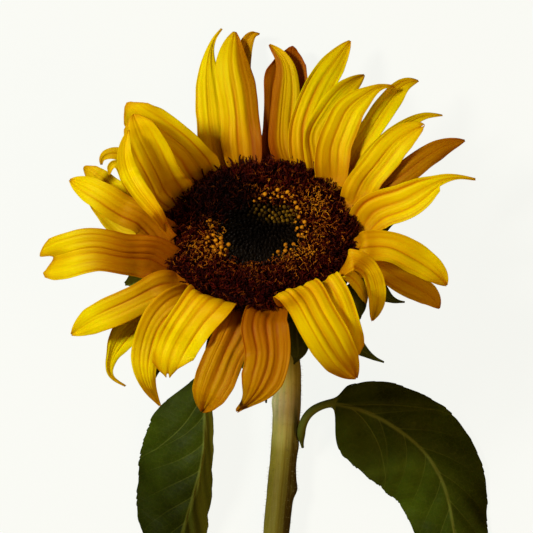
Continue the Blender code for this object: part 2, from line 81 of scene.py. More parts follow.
# Ray petals, lowest first, so that each one lies over those before it:
# name, angle on the rim, row (0 front, 1 back), width, shape, the midrib's
# points (grid x, grid y from the disc's centre, height in mm), options.
PETALS = [
    ("back_top", 86, 1, 8.5, "lance", [(-14, 110, 15), (-20, 150, 10), (-18, 182, 7), (-13, 197, 5.5), (-8, 203, 6.5), (-2, 203, 9)], {}),
    ("back_top_wide", 76, 1, 13.5, "round", [(17, 85, 19), (20, 120, 15), (25, 150, 12), (31, 174, 10), (34, 191, 8)], {}),
    ("top_shaded", 67, 0, 11.5, "lance", [(24, 90, 20), (24, 127, 17), (27, 161, 14), (22, 179, 12), (10, 192, 11)], {}),
    ("top_left_long", 105, 0, 12.5, "horn", [(-46, 95, 18), (-50.5, 130, 13), (-53, 160, 9.5), (-52.5, 178, 7.5), (-49.5, 192, 6), (-45, 201, 5.5), (-39.5, 208, 5)], {}),
    ("top_tall", 93, 0, 15.5, "lance", [(-20, 105, 17), (-24, 142, 12), (-29, 175, 9), (-26.5, 205, 6)], {}),
    ("back_left_hook", 147, 1, 6.5, "slim", [(-111, 35, 33), (-126, 63, 37), (-140, 80, 40), (-151, 81.5, 40), (-159, 77, 38), (-160, 70.5, 37)], {}),
    ("back_left_blunt", 165, 1, 10, "round", [(-116, 23, 36), (-139, 39, 35), (-159, 54, 33), (-178, 69, 30)], {}),
    ("back_left_lower", 182, 1, 11, "lance", [(-116, 0, 42), (-136, 8, 40), (-153, 21, 37), (-171, 31, 33)], {}),
    ("upper_left_fold", 118, 0, 16, "round", [(-76, 84, 33), (-94, 102, 40), (-110, 118, 45), (-121, 131, 45)], {}),
    ("upper_left_broad", 138, 0, 15, "round", [(-97, 58, 37), (-107, 85, 43), (-114, 106, 45.5), (-119, 120, 44.5)], {}),
    ("left_strip", 156, 1, 5.5, "slim", [(-113, 27, 38), (-131, 50, 43), (-142, 70, 46), (-149, 70, 46), (-151.6, 59.6, 44)], {}),
    ("left_long", 173, 0, 12, "lance", [(-113, 10, 43), (-136, 24, 49), (-158, 38, 51), (-176, 48, 48), (-191, 55, 41.5)], {}),
    ("left_narrow", 158, 0, 7.5, "lance", [(-106, 24, 41), (-121, 43, 46), (-133, 65, 51), (-136, 85, 53), (-132, 105, 52)], {"claw": (1.6, 1.0)}),
    ("upper_right_tall", 57, 0, 12, "lance", [(43, 100, 24), (50, 130, 22), (62, 155, 19), (75, 175, 16), (89.5, 195.5, 12)], {}),
    ("upper_right_tucked", 48, 0, 10, "lance", [(54, 95, 27), (63, 117, 27), (77, 137, 25), (91, 151, 22), (103.5, 161, 18)], {}),
    ("right_slender", 28, 0, 9.5, "lance", [(91, 75, 34), (104, 97, 34), (119, 120, 32), (132, 138, 28), (144, 151, 24), (158, 155, 20)], {}),
    ("back_right_curl", 20, 1, 7.5, "dart", [(104, 65, 34), (124, 92, 34), (144, 109, 33), (163, 119, 30), (182, 120, 27)], {}),
    ("back_right_dark", 4, 1, 9.5, "lance", [(111, 35, 42), (134, 55, 44), (159, 74, 44), (184, 89, 41), (204, 94.7, 38)], {}),
    ("right_upper_broad", 38, 0, 13.5, "tail", [(72, 80, 32), (79, 105, 33), (89, 125, 33), (103, 138, 31), (119, 148, 27), (133, 149, 24)], {}),
    ("right_broad", 14, 0, 13, "lance", [(101, 47, 42), (117, 70, 45), (133, 90, 47), (151, 104, 47), (164, 110.5, 46)], {}),
    ("right_pointed", 355, 0, 14.5, "tail2", [(114, 22, 51), (139, 32, 54), (164, 45, 56), (189, 56, 55), (214, 55.4, 52)], {}),
    ("back_right_lower", 330, 1, 10.5, "lance", [(111, -30, 56), (134, -41, 55), (154, -52, 52), (169, -61, 48), (178.6, -73, 43)], {}),
    ("lower_right_broad", 340, 0, 12.5, "lance", [(104, -12, 59), (124, -11, 62), (144, -18, 62), (163, -29, 59), (177, -40, 56), (185, -50.4, 52)], {}),
    ("lower_right_strap", 313, 1, 5, "slim", [(81, -38, 69), (90, -42, 70), (99, -53, 66), (105, -68, 59)], {"claw": (.8, 5.0), "cup": (.1, .3, .35)}),
    ("lower_right_hanging", 324, 0, 7.5, "slim", [(93, -25, 68), (104, -30, 69), (112.5, -44, 65), (115.5, -60, 58), (114.5, -74, 51), (111.4, -85.3, 45)], {"claw": (2.5, 3.0), "cup": (.08, .2, .3)}),
    ("left_broad", 191, 0, 17, "blunt", [(-111, -24, 51.5), (-136, -20, 57), (-163, -15, 59), (-191, -20, 55), (-219, -28, 46.5)], {}),
    ("back_lower_left_curl", 202, 1, 11.5, "hook", [(-111, -77, 54), (-129, -92, 50.5), (-142, -108, 46), (-150, -125, 40), (-150, -140, 34.5), (-136, -151, 30.5)], {}),
    ("lower_left_long", 207, 0, 12.5, "lance", [(-101, -54, 61), (-123, -64, 62), (-146, -75, 59), (-169, -86, 53), (-189.4, -99.5, 45)], {}),
    ("lower_left_arched", 220, 0, 12, "dart", [(-81, -67, 65), (-99, -80, 67), (-112, -105, 63), (-116, -133, 55), (-110, -155, 48), (-101, -170.7, 42)], {}),
    ("bottom_dark", 252, 0, 16.5, "lance", [(-21, -90, 72), (-32, -112, 70), (-42, -135, 64), (-51, -157, 56), (-59, -176, 47)], {}),
    ("bottom_left_broad", 236, 0, 17.5, "round", [(-54, -68, 74), (-68, -85, 73), (-82, -107, 67.5), (-90.5, -127, 60), (-92, -143, 53)], {"claw": (1.5, 5.0), "cup": (.1, .35, .35)}),
    ("bottom_wide", 268, 0, 17.5, "tail", [(5, -88, 75), (7, -112, 75), (3, -137, 70), (-8, -159, 60), (-24, -176, 49)], {}),
    ("bottom_right_lobe", 302, 0, 12, "round", [(64, -47, 76.5), (71, -57, 79.5), (79, -75, 78), (87, -97, 73.5), (96.5, -120, 64)], {"claw": (2.5, 4.0), "cup": (.08, .25, .35)}),
    ("bottom_right_long", 285, 0, 17, "lance", [(34, -55, 77), (42, -60, 81), (52.5, -78, 81.5), (64, -98, 79), (77.5, -120, 72), (94.5, -143, 60)], {"claw": (1.5, 4.0), "cup": (.06, .22, .35)}),
]

# Bracts behind the petals: angle on the rim, width, then either None for the
# common shape or the midrib's own points.
BRACTS = [
    (2, 10.5, [(116, 8, 42), (125, 9, 40), (133, 12, 38)]), (21, 10.5, None), (42, 10, None), (63, 10, None), (84, 10, None),
    (105, 10, None), (126, 10, None), (147, 10, None), (168, 10.5, [(-118, 2, 38), (-134, -2, 33), (-146, -4, 27)]),
    (200, 14, [(-102, -52, 50), (-120, -45, 46), (-136, -49, 40)]),
    (222, 10.5, None), (242, 10.5, None), (263, 10, None),
    (284, 9.5, [(36, -103, 60), (37, -116, 54), (33, -129, 44)]),
    (301, 9.5, [(73, -90, 58), (88, -104, 52), (101, -115, 47), (113, -123, 43), (123, -127.4, 41)]),
    (319, 9.5, [(92, -64, 56), (97, -74, 52), (99, -84, 46)]),
    (338, 9.5, [(108, -46, 52), (121, -58, 49), (132, -65, 47), (143.7, -67, 46)]),
]

# Leaves: petiole and blade as one lofted body. Each station is
# (grid x, grid y, height mm, half-width on the left, on the right, drop of
# the left edge, drop of the right edge, thickness), left and right as seen
# looking along the leaf from its stalk.
LEAVES = {
    "leaf_right": [
        (42, -214, 7.0, 1.5, 1.5, 0, 0, 3.0), (40.5, -201, 9.5, 1.6, 1.6, 0, 0, 3.2),
        (44, -186, 12.5, 1.6, 1.6, 0, 0, 3.2), (54, -175, 14.5, 1.6, 1.6, 0, 0, 3.2),
        (68, -169.5, 15.5, 1.6, 1.6, 0, 0, 3.0), (76, -170, 15.8, 3.5, 4.0, .3, .5, 2.4),
        (81, -171, 16.0, 7.0, 12.0, 1.0, 3.0, 1.8), (90, -173, 16.2, 9.5, 17.5, 1.8, 6.0, 1.4),
        (104, -177.5, 16.4, 12.5, 19.5, 3.0, 7.5, 1.2), (124, -187, 16.0, 15.5, 20.5, 4.5, 8.5, 1.1),
        (145, -201, 15.0, 17.0, 21.5, 6.5, 9.5, 1.0), (163, -217, 13.8, 17.5, 21.5, 8.0, 9.5, 1.0),
        (177, -237, 12.2, 17.0, 20.5, 8.5, 9.0, 1.0), (187, -261, 10.4, 16.0, 18.0, 8.0, 7.5, 1.0),
        (193, -290, 8.6, 14.0, 15.0, 7.0, 6.0, 1.0), (199, -322, 6.4, 9.5, 10.5, 4.8, 4.4, 1.0),
        (206, -350, 3.8, 4.2, 4.8, 2.4, 2.2, 1.0), (212, -368, 2.0, .8, .8, .2, .2, .9),
    ],
    "leaf_left": [
        (7.6, -160, 6.5, 1.5, 1.5, 0, 0, 3.0), (2, -146, 10.0, 1.6, 1.6, 0, 0, 3.2),
        (-12, -133, 14.0, 1.6, 1.6, 0, 0, 3.2), (-29, -127, 17.0, 1.6, 1.6, 0, 0, 3.2),
        (-45, -131, 19.0, 1.6, 1.8, 0, 0, 3.0), (-53.5, -144, 19.4, 2.0, 4.2, 1.5, 1.0, 2.2),
        (-56, -157, 19.6, 2.6, 9.5, 6.0, 3.0, 1.6), (-56.5, -166, 19.6, 3.0, 14.5, 10.0, 5.5, 1.3),
        (-56.5, -180, 19.6, 3.2, 19.2, 14.0, 9.0, 1.1), (-57, -207, 19.0, 3.2, 22.8, 16.5, 12.5, 1.0),
        (-60.5, -234, 17.6, 4.0, 23.8, 15.6, 13.2, 1.0),
        (-66, -254.5, 15.8, 6.0, 23.2, 13.8, 12.6, 1.0), (-72, -275, 13.6, 8.0, 21.6, 11.6, 11.2, 1.0),
        (-79, -298, 11.0, 9.6, 17.6, 9.2, 8.9, 1.0), (-88, -326, 7.8, 7.6, 10.6, 6.0, 5.2, 1.0),
        (-98, -352, 4.6, 4.0, 5.2, 2.8, 2.6, 1.0), (-107, -371, 2.2, .8, .8, .2, .2, .9),
    ],
}


# ------------------------------------------------------------------ geometry
def on_head(radius, angle, out):
    a = math.radians(angle)
    return HEAD + radius*(math.cos(a)*EAST + math.sin(a)*NORTH) + out*AXIS


def smooth(t):
    t = np.clip(t, 0, 1)
    return t*t*(3 - 2*t)


def through(points, n):
    """n points evenly along a smooth curve through the given ones."""
    p = np.asarray(points, float)
    k = np.concatenate([[0], np.cumsum(np.linalg.norm(np.diff(p[:, :3], axis=0), axis=1)**0.5)])
    h = np.diff(k)
    m = len(p)
    a = np.zeros((m, m))
    r = np.zeros(p.shape)
    a[0, 0] = a[-1, -1] = 1
    for i in range(1, m - 1):
        a[i, i-1], a[i, i], a[i, i+1] = h[i-1], 2*(h[i-1] + h[i]), h[i]
        r[i] = 6*((p[i+1] - p[i])/h[i] - (p[i] - p[i-1])/h[i-1])
    c = np.linalg.solve(a, r)
    t = np.linspace(0, k[-1], 400)
    i = np.clip(np.searchsorted(k, t) - 1, 0, m - 2)
    u = ((k[i+1] - t)/h[i])[:, None]
    w = ((t - k[i])/h[i])[:, None]
    f = u*p[i] + w*p[i+1] + ((u**3 - u)*c[i] + (w**3 - w)*c[i+1])*(h[i]**2)[:, None]/6
    s = np.concatenate([[0], np.cumsum(np.linalg.norm(np.diff(f[:, :3], axis=0), axis=1))])
    at = np.linspace(0, s[-1], n)
    return np.stack([np.interp(at, s, f[:, q]) for q in range(p.shape[1])], 1)


def blade(path, width, shape, rows, cols, cup=(.7, .45, .35), notch=()):
    """Mid surface of a petal or bract as a (rows, cols, 3) grid."""
    s = np.linspace(0, 1, 400)
    c = through(path, 400)
    t = np.gradient(c, axis=0)
    t /= np.linalg.norm(t, axis=1)[:, None]
    kx, ky = SHAPES[shape]
    w = np.interp(s, kx, ky)
    k = np.hanning(41)
    k /= k.sum()
    soft = np.convolve(np.pad(w, 20, mode="edge"), k, mode="valid")
    f = smooth((s - 0.93)/0.05)
    w = (soft*(1 - f) + w*f)*width/2
    n = np.zeros_like(c)
    radial = path[0] - HEAD
    radial = radial - (radial @ AXIS)*AXIS
    radial /= np.linalg.norm(radial)
    q = (t[0] @ radial)*AXIS - (t[0] @ AXIS)*radial      # the face towards the flower's middle
    for i in range(400):
        q = q - (q @ t[i])*t[i]
        q /= np.linalg.norm(q)
        want = UP - (UP @ t[i])*t[i]
        if np.linalg.norm(want) > .2 and q @ want > 0.3*np.linalg.norm(want):
            q = q + want*0.03
            q = q - (q @ t[i])*t[i]
            q /= np.linalg.norm(q)
        n[i] = q
    side = np.cross(t, n)
    bend = np.interp(s, [0, .5, 1], cup)
    across = np.linspace(-1, 1, cols)
    end = np.ones(cols)
    for v0, depth, wide in notch:
        end -= depth*np.clip(1 - np.abs(across - v0)/wide, 0, 1)
    grid = np.zeros((rows, cols, 3))
    for j, v in enumerate(across):
        u = np.linspace(0, 1, rows)*end[j]
        at = u*399
        i = np.clip(at.astype(int), 0, 398)
        g = (at - i)[:, None]
        cj, sj, nj = (z[i]*(1 - g) + z[i+1]*g for z in (c, side, n))
        b = np.interp(u, s, bend)
        ww = np.interp(u, s, w)
        grid[:, j] = cj + sj*(ww*np.sin(b*v)/b)[:, None] + nj*(ww*(1 - np.cos(b*v))/b)[:, None]
    return grid


def steepness(g):
    n = np.cross(np.gradient(g, axis=1), np.gradient(g, axis=0))
    return np.abs(n[..., 2])/np.maximum(np.linalg.norm(n, axis=2), 1e-9)


class Heights:
    """The highest surface laid down so far, on a square grid of 0.5 mm."""

    def __init__(self, size=300, step=0.5):
        self.step, self.half = step, size/2
        self.z = np.full((int(size/step),)*2, -1e3)

    def cell(self, v):
        return ((v + self.half)/self.step).astype(int)

    def add(self, g):
        for i in range(g.shape[0] - 1):
            for j in range(g.shape[1] - 1):
                q = g[i:i+2, j:j+2]
                d = max(np.abs(q[0, 0] - q[1, 1]).max(), np.abs(q[0, 1] - q[1, 0]).max())
                a = np.linspace(0, 1, max(2, int(math.ceil(d/self.step*1.3))) + 1)
                x, y = np.meshgrid(a, a, indexing="ij")
                x, y = x[..., None], y[..., None]
                p = (q[0, 0]*(1-x)*(1-y) + q[0, 1]*(1-x)*y + q[1, 0]*x*(1-y) + q[1, 1]*x*y).reshape(-1, 3)
                np.maximum.at(self.z, (self.cell(p[:, 0]), self.cell(p[:, 1])), p[:, 2])

    def near(self, g, reach):
        x, y = self.cell(g[..., 0]), self.cell(g[..., 1])
        best = np.full(g.shape[:2], -1e3)
        for i in range(-reach, reach + 1):
            for j in range(-reach, reach + 1):
                best = np.maximum(best, self.z[x+i, y+j])
        return best


def laid_over(g, heights, gap):
    """Raises a blade row by row, smoothly, until it clears what is under it."""
    g = g.copy()
    k = np.array([.06, .24, .4, .24, .06])
    first = int(len(g)*0.12)
    for _ in range(80):
        under = heights.near(g, 2)
        under[:first] = heights.near(g[:first], 1)
        need = under + gap/np.clip(steepness(g), .35, 1) - g[..., 2]
        row = np.clip(need, 0, None).max(axis=1)
        if row.max() <= 0.02:
            break
        pad = np.pad(row, 1)
        wide = np.maximum(row, np.maximum(pad[2:], pad[:-2])*0.8)
        for _ in range(2):
            wide = np.maximum(row, np.convolve(np.pad(wide, 2, mode="edge"), k, mode="valid"))
        g[..., 2] += np.minimum(wide, 1.0)[:, None]
    return g


def settled(g, floor=0.9):
    """Bends a blade that would pass through the table up along it."""
    g = g.copy()
    z = g[..., 2]
    g[..., 2] = floor + np.where(z > floor + 8, z - floor, 4*np.log1p(np.exp(np.clip((z - floor - 1)/4, -30, 30))))
    g[..., 2] = np.maximum(g[..., 2], floor)
    return g


def bract_grid(angle, width, points, rows, cols):
    base = on_head(BRACT_RADIUS, angle, -8.8)
    if points:
        path = [base] + [np.array([x*UNIT, y*UNIT, z]) for x, y, z in points]
    else:
        path = [base] + [on_head(r, angle, h) for r, h in ((43, -10.5), (51, -13), (59, -17), (65, -22))]
    return settled(blade(path, width, "bract", rows, cols, cup=(.5, .4, .5)))


def petal_grid(spec, rows, cols):
    _, angle, row, width, shape, points, options = spec
    out, rise = options.get("claw", (3.5, .6))
    depth = -1.5 - 3.0*row
    path = [on_head(CLAW_RADIUS, angle, depth), on_head(CLAW_RADIUS + out, angle, depth + rise)]
    path += [np.array([x*UNIT, y*UNIT, z]) for x, y, z in points]
    return blade(path, width, shape, rows, cols, options.get("cup", (.7, .45, .35)), options.get("notch", ()))


def neck_path():
    """Centre line and radius from the disc's back to the cut end."""
    line, radius = [], []
    for depth, r in ((4.6, 34.4), (6.5, 35.2), (9, 35.0), (12, 33.0), (15.5, 28.6), (19, 22.6),
                     (22.5, 16.6), (26, 11.6), (NECK_BACK, 7.6)):
        line.append(HEAD - AXIS*depth)
        radius.append(r)
    # from the neck, a smooth bend down on to the table
    start = HEAD - AXIS*NECK_BACK
    mid = [start, start - AXIS*7, np.array([6.5, -34.0, 10.6]), np.array([9.6, -48.0, 6.6]),
           np.array([9.9, -64.0, 5.5]), np.array([9.0, -80.0, 5.35]), np.array([7.6, -96.0, 5.25]),
           np.array([5.8, -114.0, 5.2]), np.array([4.4, -140.0, 5.1]), np.array([4.0, -175.0, 5.0]),
           np.array([6.0, -215.0, 4.9]), np.array([9.0, -250.0, 4.8]), np.array([11.0, STEM_END, 4.8])]
    curve = through(mid, 44)[1:]
    s = np.linspace(0, 1, 44)[1:]
    for p, t in zip(curve, s):
        line.append(p)
        radius.append(np.interp(t, [0, .04, .1, .25, 1], [7.6, 6.3, 5.4, STEM_RADIUS, STEM_END_RADIUS]))
    return line, radius


def leaf_sections(stations, rings, cols):
    """Closed sections of a leaf, each a loop of points round petiole or blade."""
    p = np.array([[x*UNIT, y*UNIT, z, a, b, da, db, t] for x, y, z, a, b, da, db, t in stations])
    s = through(p, rings)
    c = s[:, :3]
    t = np.gradient(c, axis=0)
    t /= np.linalg.norm(t, axis=1)[:, None]
    side = np.cross(t, UP)
    side /= np.linalg.norm(side, axis=1)[:, None]
    n = np.cross(side, t)
    across = np.linspace(-1, 1, cols)
    loops = []
    for i in range(rings):
        left, right, dl, dr, th = np.clip(s[i, 3:], [.5, .5, 0, 0, .8], None)
        top, low = [], []
        flat = min(1.0, max(left, right)/12)
        for v in across:
            w = right*v if v > 0 else left*v
            drop = dr if v > 0 else dl
            mid = c[i] + side[i]*w - UP*drop*1.07*abs(v)**1.6
            slope = side[i]*(right if v > 0 else left) - UP*drop*1.07*1.6*abs(v)**.6*(1 if v > 0 else -1)
            face = np.cross(slope, t[i])
            face /= np.linalg.norm(face)
            h = th/2*(math.sqrt(max(0, 1 - v*v))*(1 - flat) + flat*(0.9 - .45*abs(v)))*face
            top.append(mid + h)
            low.append(mid - h)
        loops.append(np.array(top + low[::-1]))
    return loops


# ------------------------------------------------------------- fine surfaces
def spline_rows(values, at):
    """Natural cubic through evenly spaced rows of values, read at 0..1."""
    v = np.asarray(values, float)
    n = len(v)
    a = np.zeros((n, n))
    r = np.zeros_like(v)
    a[0, 0] = a[-1, -1] = 1
    for i in range(1, n - 1):
        a[i, i-1], a[i, i], a[i, i+1] = 1, 4, 1
        r[i] = 6*(v[i+1] - 2*v[i] + v[i-1])
    c = np.linalg.solve(a, r.reshape(n, -1)).reshape(v.shape)
    t = np.asarray(at)*(n - 1)
    i = np.clip(t.astype(int), 0, n - 2)
    w = (t - i).reshape((-1,) + (1,)*(v.ndim - 1))
    u = 1 - w
    return u*v[i] + w*v[i+1] + ((u**3 - u)*c[i] + (w**3 - w)*c[i+1])/6


def refine(g, rows, cols):
    g = spline_rows(g, np.linspace(0, 1, rows))
    return spline_rows(g.transpose(1, 0, 2), np.linspace(0, 1, cols)).transpose(1, 0, 2)


def normals(g):
    n = np.cross(np.gradient(g, axis=1), np.gradient(g, axis=0))
    n /= np.maximum(np.linalg.norm(n, axis=2, keepdims=True), 1e-9)
    return n


def wander(seed, x, waves=((1, 1.0), (2, .6), (3.3, .4))):
    """A smooth number between about -1 and 1 along x, the same each run."""
    rng = np.random.default_rng(seed)
    out = 0
    for f, a in waves:
        out = out + a*np.sin(2*math.pi*(f*x + rng.random()))
    return out/sum(a for _, a in waves)


def to_world(p):
    return (np.asarray(p, float) - BOX_CENTRE)*0.001


def new_mesh(name, verts, faces, attributes=None, smooth_faces=True):
    """One object from millimetre points and faces of one size."""
    faces = np.asarray(faces, dtype=np.int32)
    mesh = bpy.data.meshes.new(name)
    mesh.vertices.add(len(verts))
    mesh.vertices.foreach_set("co", to_world(verts).astype(np.float32).ravel())
    mesh.loops.add(faces.size)
    mesh.loops.foreach_set("vertex_index", faces.ravel())
    mesh.polygons.add(len(faces))
    k = faces.shape[1]
    mesh.polygons.foreach_set("loop_start", np.arange(0, faces.size, k, dtype=np.int32))
    mesh.update(calc_edges=True)
    for key, values in (attributes or {}).items():
        values = np.asarray(values, dtype=np.float32)
        if values.ndim == 1:
            layer = mesh.attributes.new(key, "FLOAT", "POINT")
            layer.data.foreach_set("value", values)
        else:
            layer = mesh.attributes.new(key, "FLOAT_VECTOR", "POINT")
            layer.data.foreach_set("vector", values.ravel())
    mesh.validate()
    if smooth_faces:
        mesh.shade_smooth()
    obj = bpy.data.objects.new(name, mesh)
    MAKE.objects.link(obj)
    return obj


def sheet_mesh(top, low):
    """Verts and quads of a closed sheet from its two sides as (rows, cols, 3)."""
    r, c = top.shape[:2]
    verts = np.concatenate([top.reshape(-1, 3), low.reshape(-1, 3)])
    i = np.arange(r*c).reshape(r, c)
    j = i + r*c
    q = [np.stack([i[:-1, :-1], i[:-1, 1:], i[1:, 1:], i[1:, :-1]], -1).reshape(-1, 4),
         np.stack([j[:-1, :-1], j[1:, :-1], j[1:, 1:], j[:-1, 1:]], -1).reshape(-1, 4)]
    ring = np.concatenate([i[0, :-1], i[:-1, -1], i[-1, :0:-1], i[:0:-1, 0]])
    nxt = np.roll(ring, -1)
    q.append(np.stack([ring, ring + r*c, nxt + r*c, nxt], -1))
    return verts, np.concatenate(q)


# ------------------------------------------------------------------ materials
def nodes_of(name):
    m = bpy.data.materials.new(name)
    m.use_nodes = True
    t = m.node_tree
    return m, t, t.nodes["Principled BSDF"]


class Net:
    """Short-hand for building node trees."""

    def __init__(self, tree):
        self.t = tree

    def add(self, kind, **values):
        n = self.t.nodes.new(kind)
        for k, v in values.items():
            setattr(n, k, v)
        return n

    def link(self, a, b):
        self.t.links.new(a, b)

    def attr(self, name, part=None):
        n = self.add("ShaderNodeAttribute", attribute_name=name)
        if part is None:
            return n.outputs["Fac"]
        s = self.add("ShaderNodeSeparateXYZ")
        self.link(n.outputs["Vector"], s.inputs[0])
        return s.outputs[part]

    def math(self, op, a, b=None, c=None):
        n = self.add("ShaderNodeMath", operation=op)
        for k, v in enumerate((a, b, c)):
            if v is None:
                continue
            if isinstance(v, (int, float)):
                n.inputs[k].default_value = v
            else:
                self.link(v, n.inputs[k])
        return n.outputs[0]

    def ramp(self, fac, stops, mode="LINEAR"):
        n = self.add("ShaderNodeValToRGB")
        n.color_ramp.interpolation = mode
        e = n.color_ramp.elements
        while len(e) > 1:
            e.remove(e[-1])
        e[0].position, e[0].color = stops[0][0], (*stops[0][1], 1)
        for p, c in stops[1:]:
            x = e.new(p)
            x.color = (*c, 1)
        self.link(fac, n.inputs[0])
        return n.outputs[0]

    def mix(self, fac, a, b, mode="MIX"):
        n = self.add("ShaderNodeMix", data_type="RGBA", blend_type=mode)
        for k, v in ((0, fac), (6, a), (7, b)):
            if isinstance(v, (int, float)):
                n.inputs[k].default_value = v
            elif isinstance(v, tuple):
                n.inputs[k].default_value = (*v, 1)
            else:
                self.link(v, n.inputs[k])
        return n.outputs[2]

    def noise(self, scale, detail=3, rough=.5, vector=None, dims="3D"):
        n = self.add("ShaderNodeTexNoise", noise_dimensions=dims)
        n.inputs["Scale"].default_value = scale
        n.inputs["Detail"].default_value = detail
        n.inputs["Roughness"].default_value = rough
        if vector is not None:
            self.link(vector, n.inputs["Vector"])
        return n.outputs["Fac"]

    def bump(self, height, strength, distance, into):
        n = self.add("ShaderNodeBump")
        n.inputs["Strength"].default_value = strength
        n.inputs["Distance"].default_value = distance
        self.link(height, n.inputs["Height"])
        self.link(n.outputs[0], into)

    def combine(self, x, y, z):
        n = self.add("ShaderNodeCombineXYZ")
        for k, v in enumerate((x, y, z)):
            if isinstance(v, (int, float)):
                n.inputs[k].default_value = v
            else:
                self.link(v, n.inputs[k])
        return n.outputs[0]


def petal_material():
    """Yellow, orange towards the claw, with fine veins along the petal, painted shade in the pleats' creases and
    painted shade where the shade attribute asks.
    """
    m, t, b = nodes_of("petal_yellow")
    n = Net(t)
    u, v, tone = (n.attr("blade", k) for k in "XYZ")
    painted_crease_shade = n.attr("painted_crease_shade")
    # veins: noise drawn out along the petal
    lines = n.noise(1.0, 3, .55, n.combine(n.math("MULTIPLY", u, 1.1), n.math("MULTIPLY", v, 9), n.math("MULTIPLY", tone, 31)))
    blotch = n.noise(1.0, 2, .5, n.combine(n.math("MULTIPLY", u, 3.1), n.math("MULTIPLY", v, 1.6), n.math("MULTIPLY", tone, 17)))
    base = n.ramp(u, [(0, (.42, .15, .0002)), (.10, (.60, .29, .0002)), (.24, (.78, .50, .0002)), (.42, (.86, .655, .0002)), (.7, (.87, .71, .0002)),
                      (.94, (.86, .62, .0003)), (1, (.62, .34, .0008))])
    # painted shade: orange-brown darkening in the pleats' creases
    c = n.mix(n.ramp(painted_crease_shade, [(0, (0, 0, 0)), (.8, (1, 1, 1))]), base, n.mix(1.0, base, (.74, .44, .2), "MULTIPLY"))
    c = n.mix(n.ramp(lines, [(.46, (0, 0, 0)), (.7, (.5, .5, .5))]), c, n.mix(1.0, c, (.90, .74, .5), "MULTIPLY"))
    c = n.mix(n.ramp(blotch, [(.45, (0, 0, 0)), (.85, (.4, .4, .4))]), c, n.mix(1.0, c, (.92, .74, .5), "MULTIPLY"))
    # painted shade: darker and more orange where the shade attribute says
    shade = n.attr("shade")
    c = n.mix(shade, c, n.mix(1.0, c, (.41, .155, .06), "MULTIPLY"))
    n.link(c, b.inputs["Base Color"])
    r = n.ramp(lines, [(.3, (.50, .50, .50)), (.75, (.62, .62, .62))])
    n.link(r, b.inputs["Roughness"])
    n.bump(lines, .12, .0003, b.inputs["Normal"])
    b.inputs["Subsurface Weight"].default_value = .45
    b.inputs["Subsurface Radius"].default_value = (1.0, .75, .02)
    b.inputs["Subsurface Scale"].default_value = .0008
    b.inputs["Specular IOR Level"].default_value = .04
    return m


def leaf_material(name, dark, mid, vein, rough):
    m, t, b = nodes_of(name)
    n = Net(t)
    veins = n.attr("veins")
    under = n.attr("under")
    pale = n.attr("pale")
    co = n.add("ShaderNodeTexCoord").outputs["Object"]
    big = n.noise(30, 4, .6, co)
    fine = n.noise(420, 3, .6, co)
    cell = n.add("ShaderNodeTexVoronoi", feature="DISTANCE_TO_EDGE")
    cell.inputs["Scale"].default_value = 480
    n.link(co, cell.inputs["Vector"])
    edges = n.ramp(cell.outputs["Distance"], [(0, (1, 1, 1)), (.06, (0, 0, 0))])
    c = n.mix(n.ramp(big, [(.35, (0, 0, 0)), (.68, (1, 1, 1))]), dark, mid)
    c = n.mix(n.ramp(fine, [(.4, (0, 0, 0)), (.7, (.4, .4, .4))]), c, n.mix(1.0, c, (.68, .72, .5), "MULTIPLY"))
    c = n.mix(n.math("MULTIPLY", edges, .10), c, vein)
    c = n.mix(n.ramp(veins, [(.1, (0, 0, 0)), (.8, (.7, .7, .7))]), c, vein)
    c = n.mix(n.math("MULTIPLY", under, .55), c, n.mix(.5, c, (.13, .16, .045)))
    # pale: painted light, a paler yellower green along one side of a leaf's fold; on bract 10 partly its own paler
    # green and partly painted light
    c = n.mix(pale, c, n.mix(.88, c, (.52, .78, .12)))
    # darker and browner towards a leaf's tip, on one side and at the stalk's foot
    c = n.mix(n.attr("browner"), c, n.mix(1.0, c, (.50, .46, .30), "MULTIPLY"))
    n.link(c, b.inputs["Base Color"])
    n.link(n.ramp(fine, [(.3, (rough - .06,)*3), (.7, (rough + .1,)*3)]), b.inputs["Roughness"])
    h = n.math("ADD", n.math("MULTIPLY", fine, .5), n.math("MULTIPLY", edges, -.2))
    n.bump(h, .28, .0004, b.inputs["Normal"])
    b.inputs["Specular IOR Level"].default_value = .04
    b.inputs["Subsurface Weight"].default_value = .12
    b.inputs["Subsurface Radius"].default_value = (.4, 1.0, .1)
    b.inputs["Subsurface Scale"].default_value = .0006
    return m


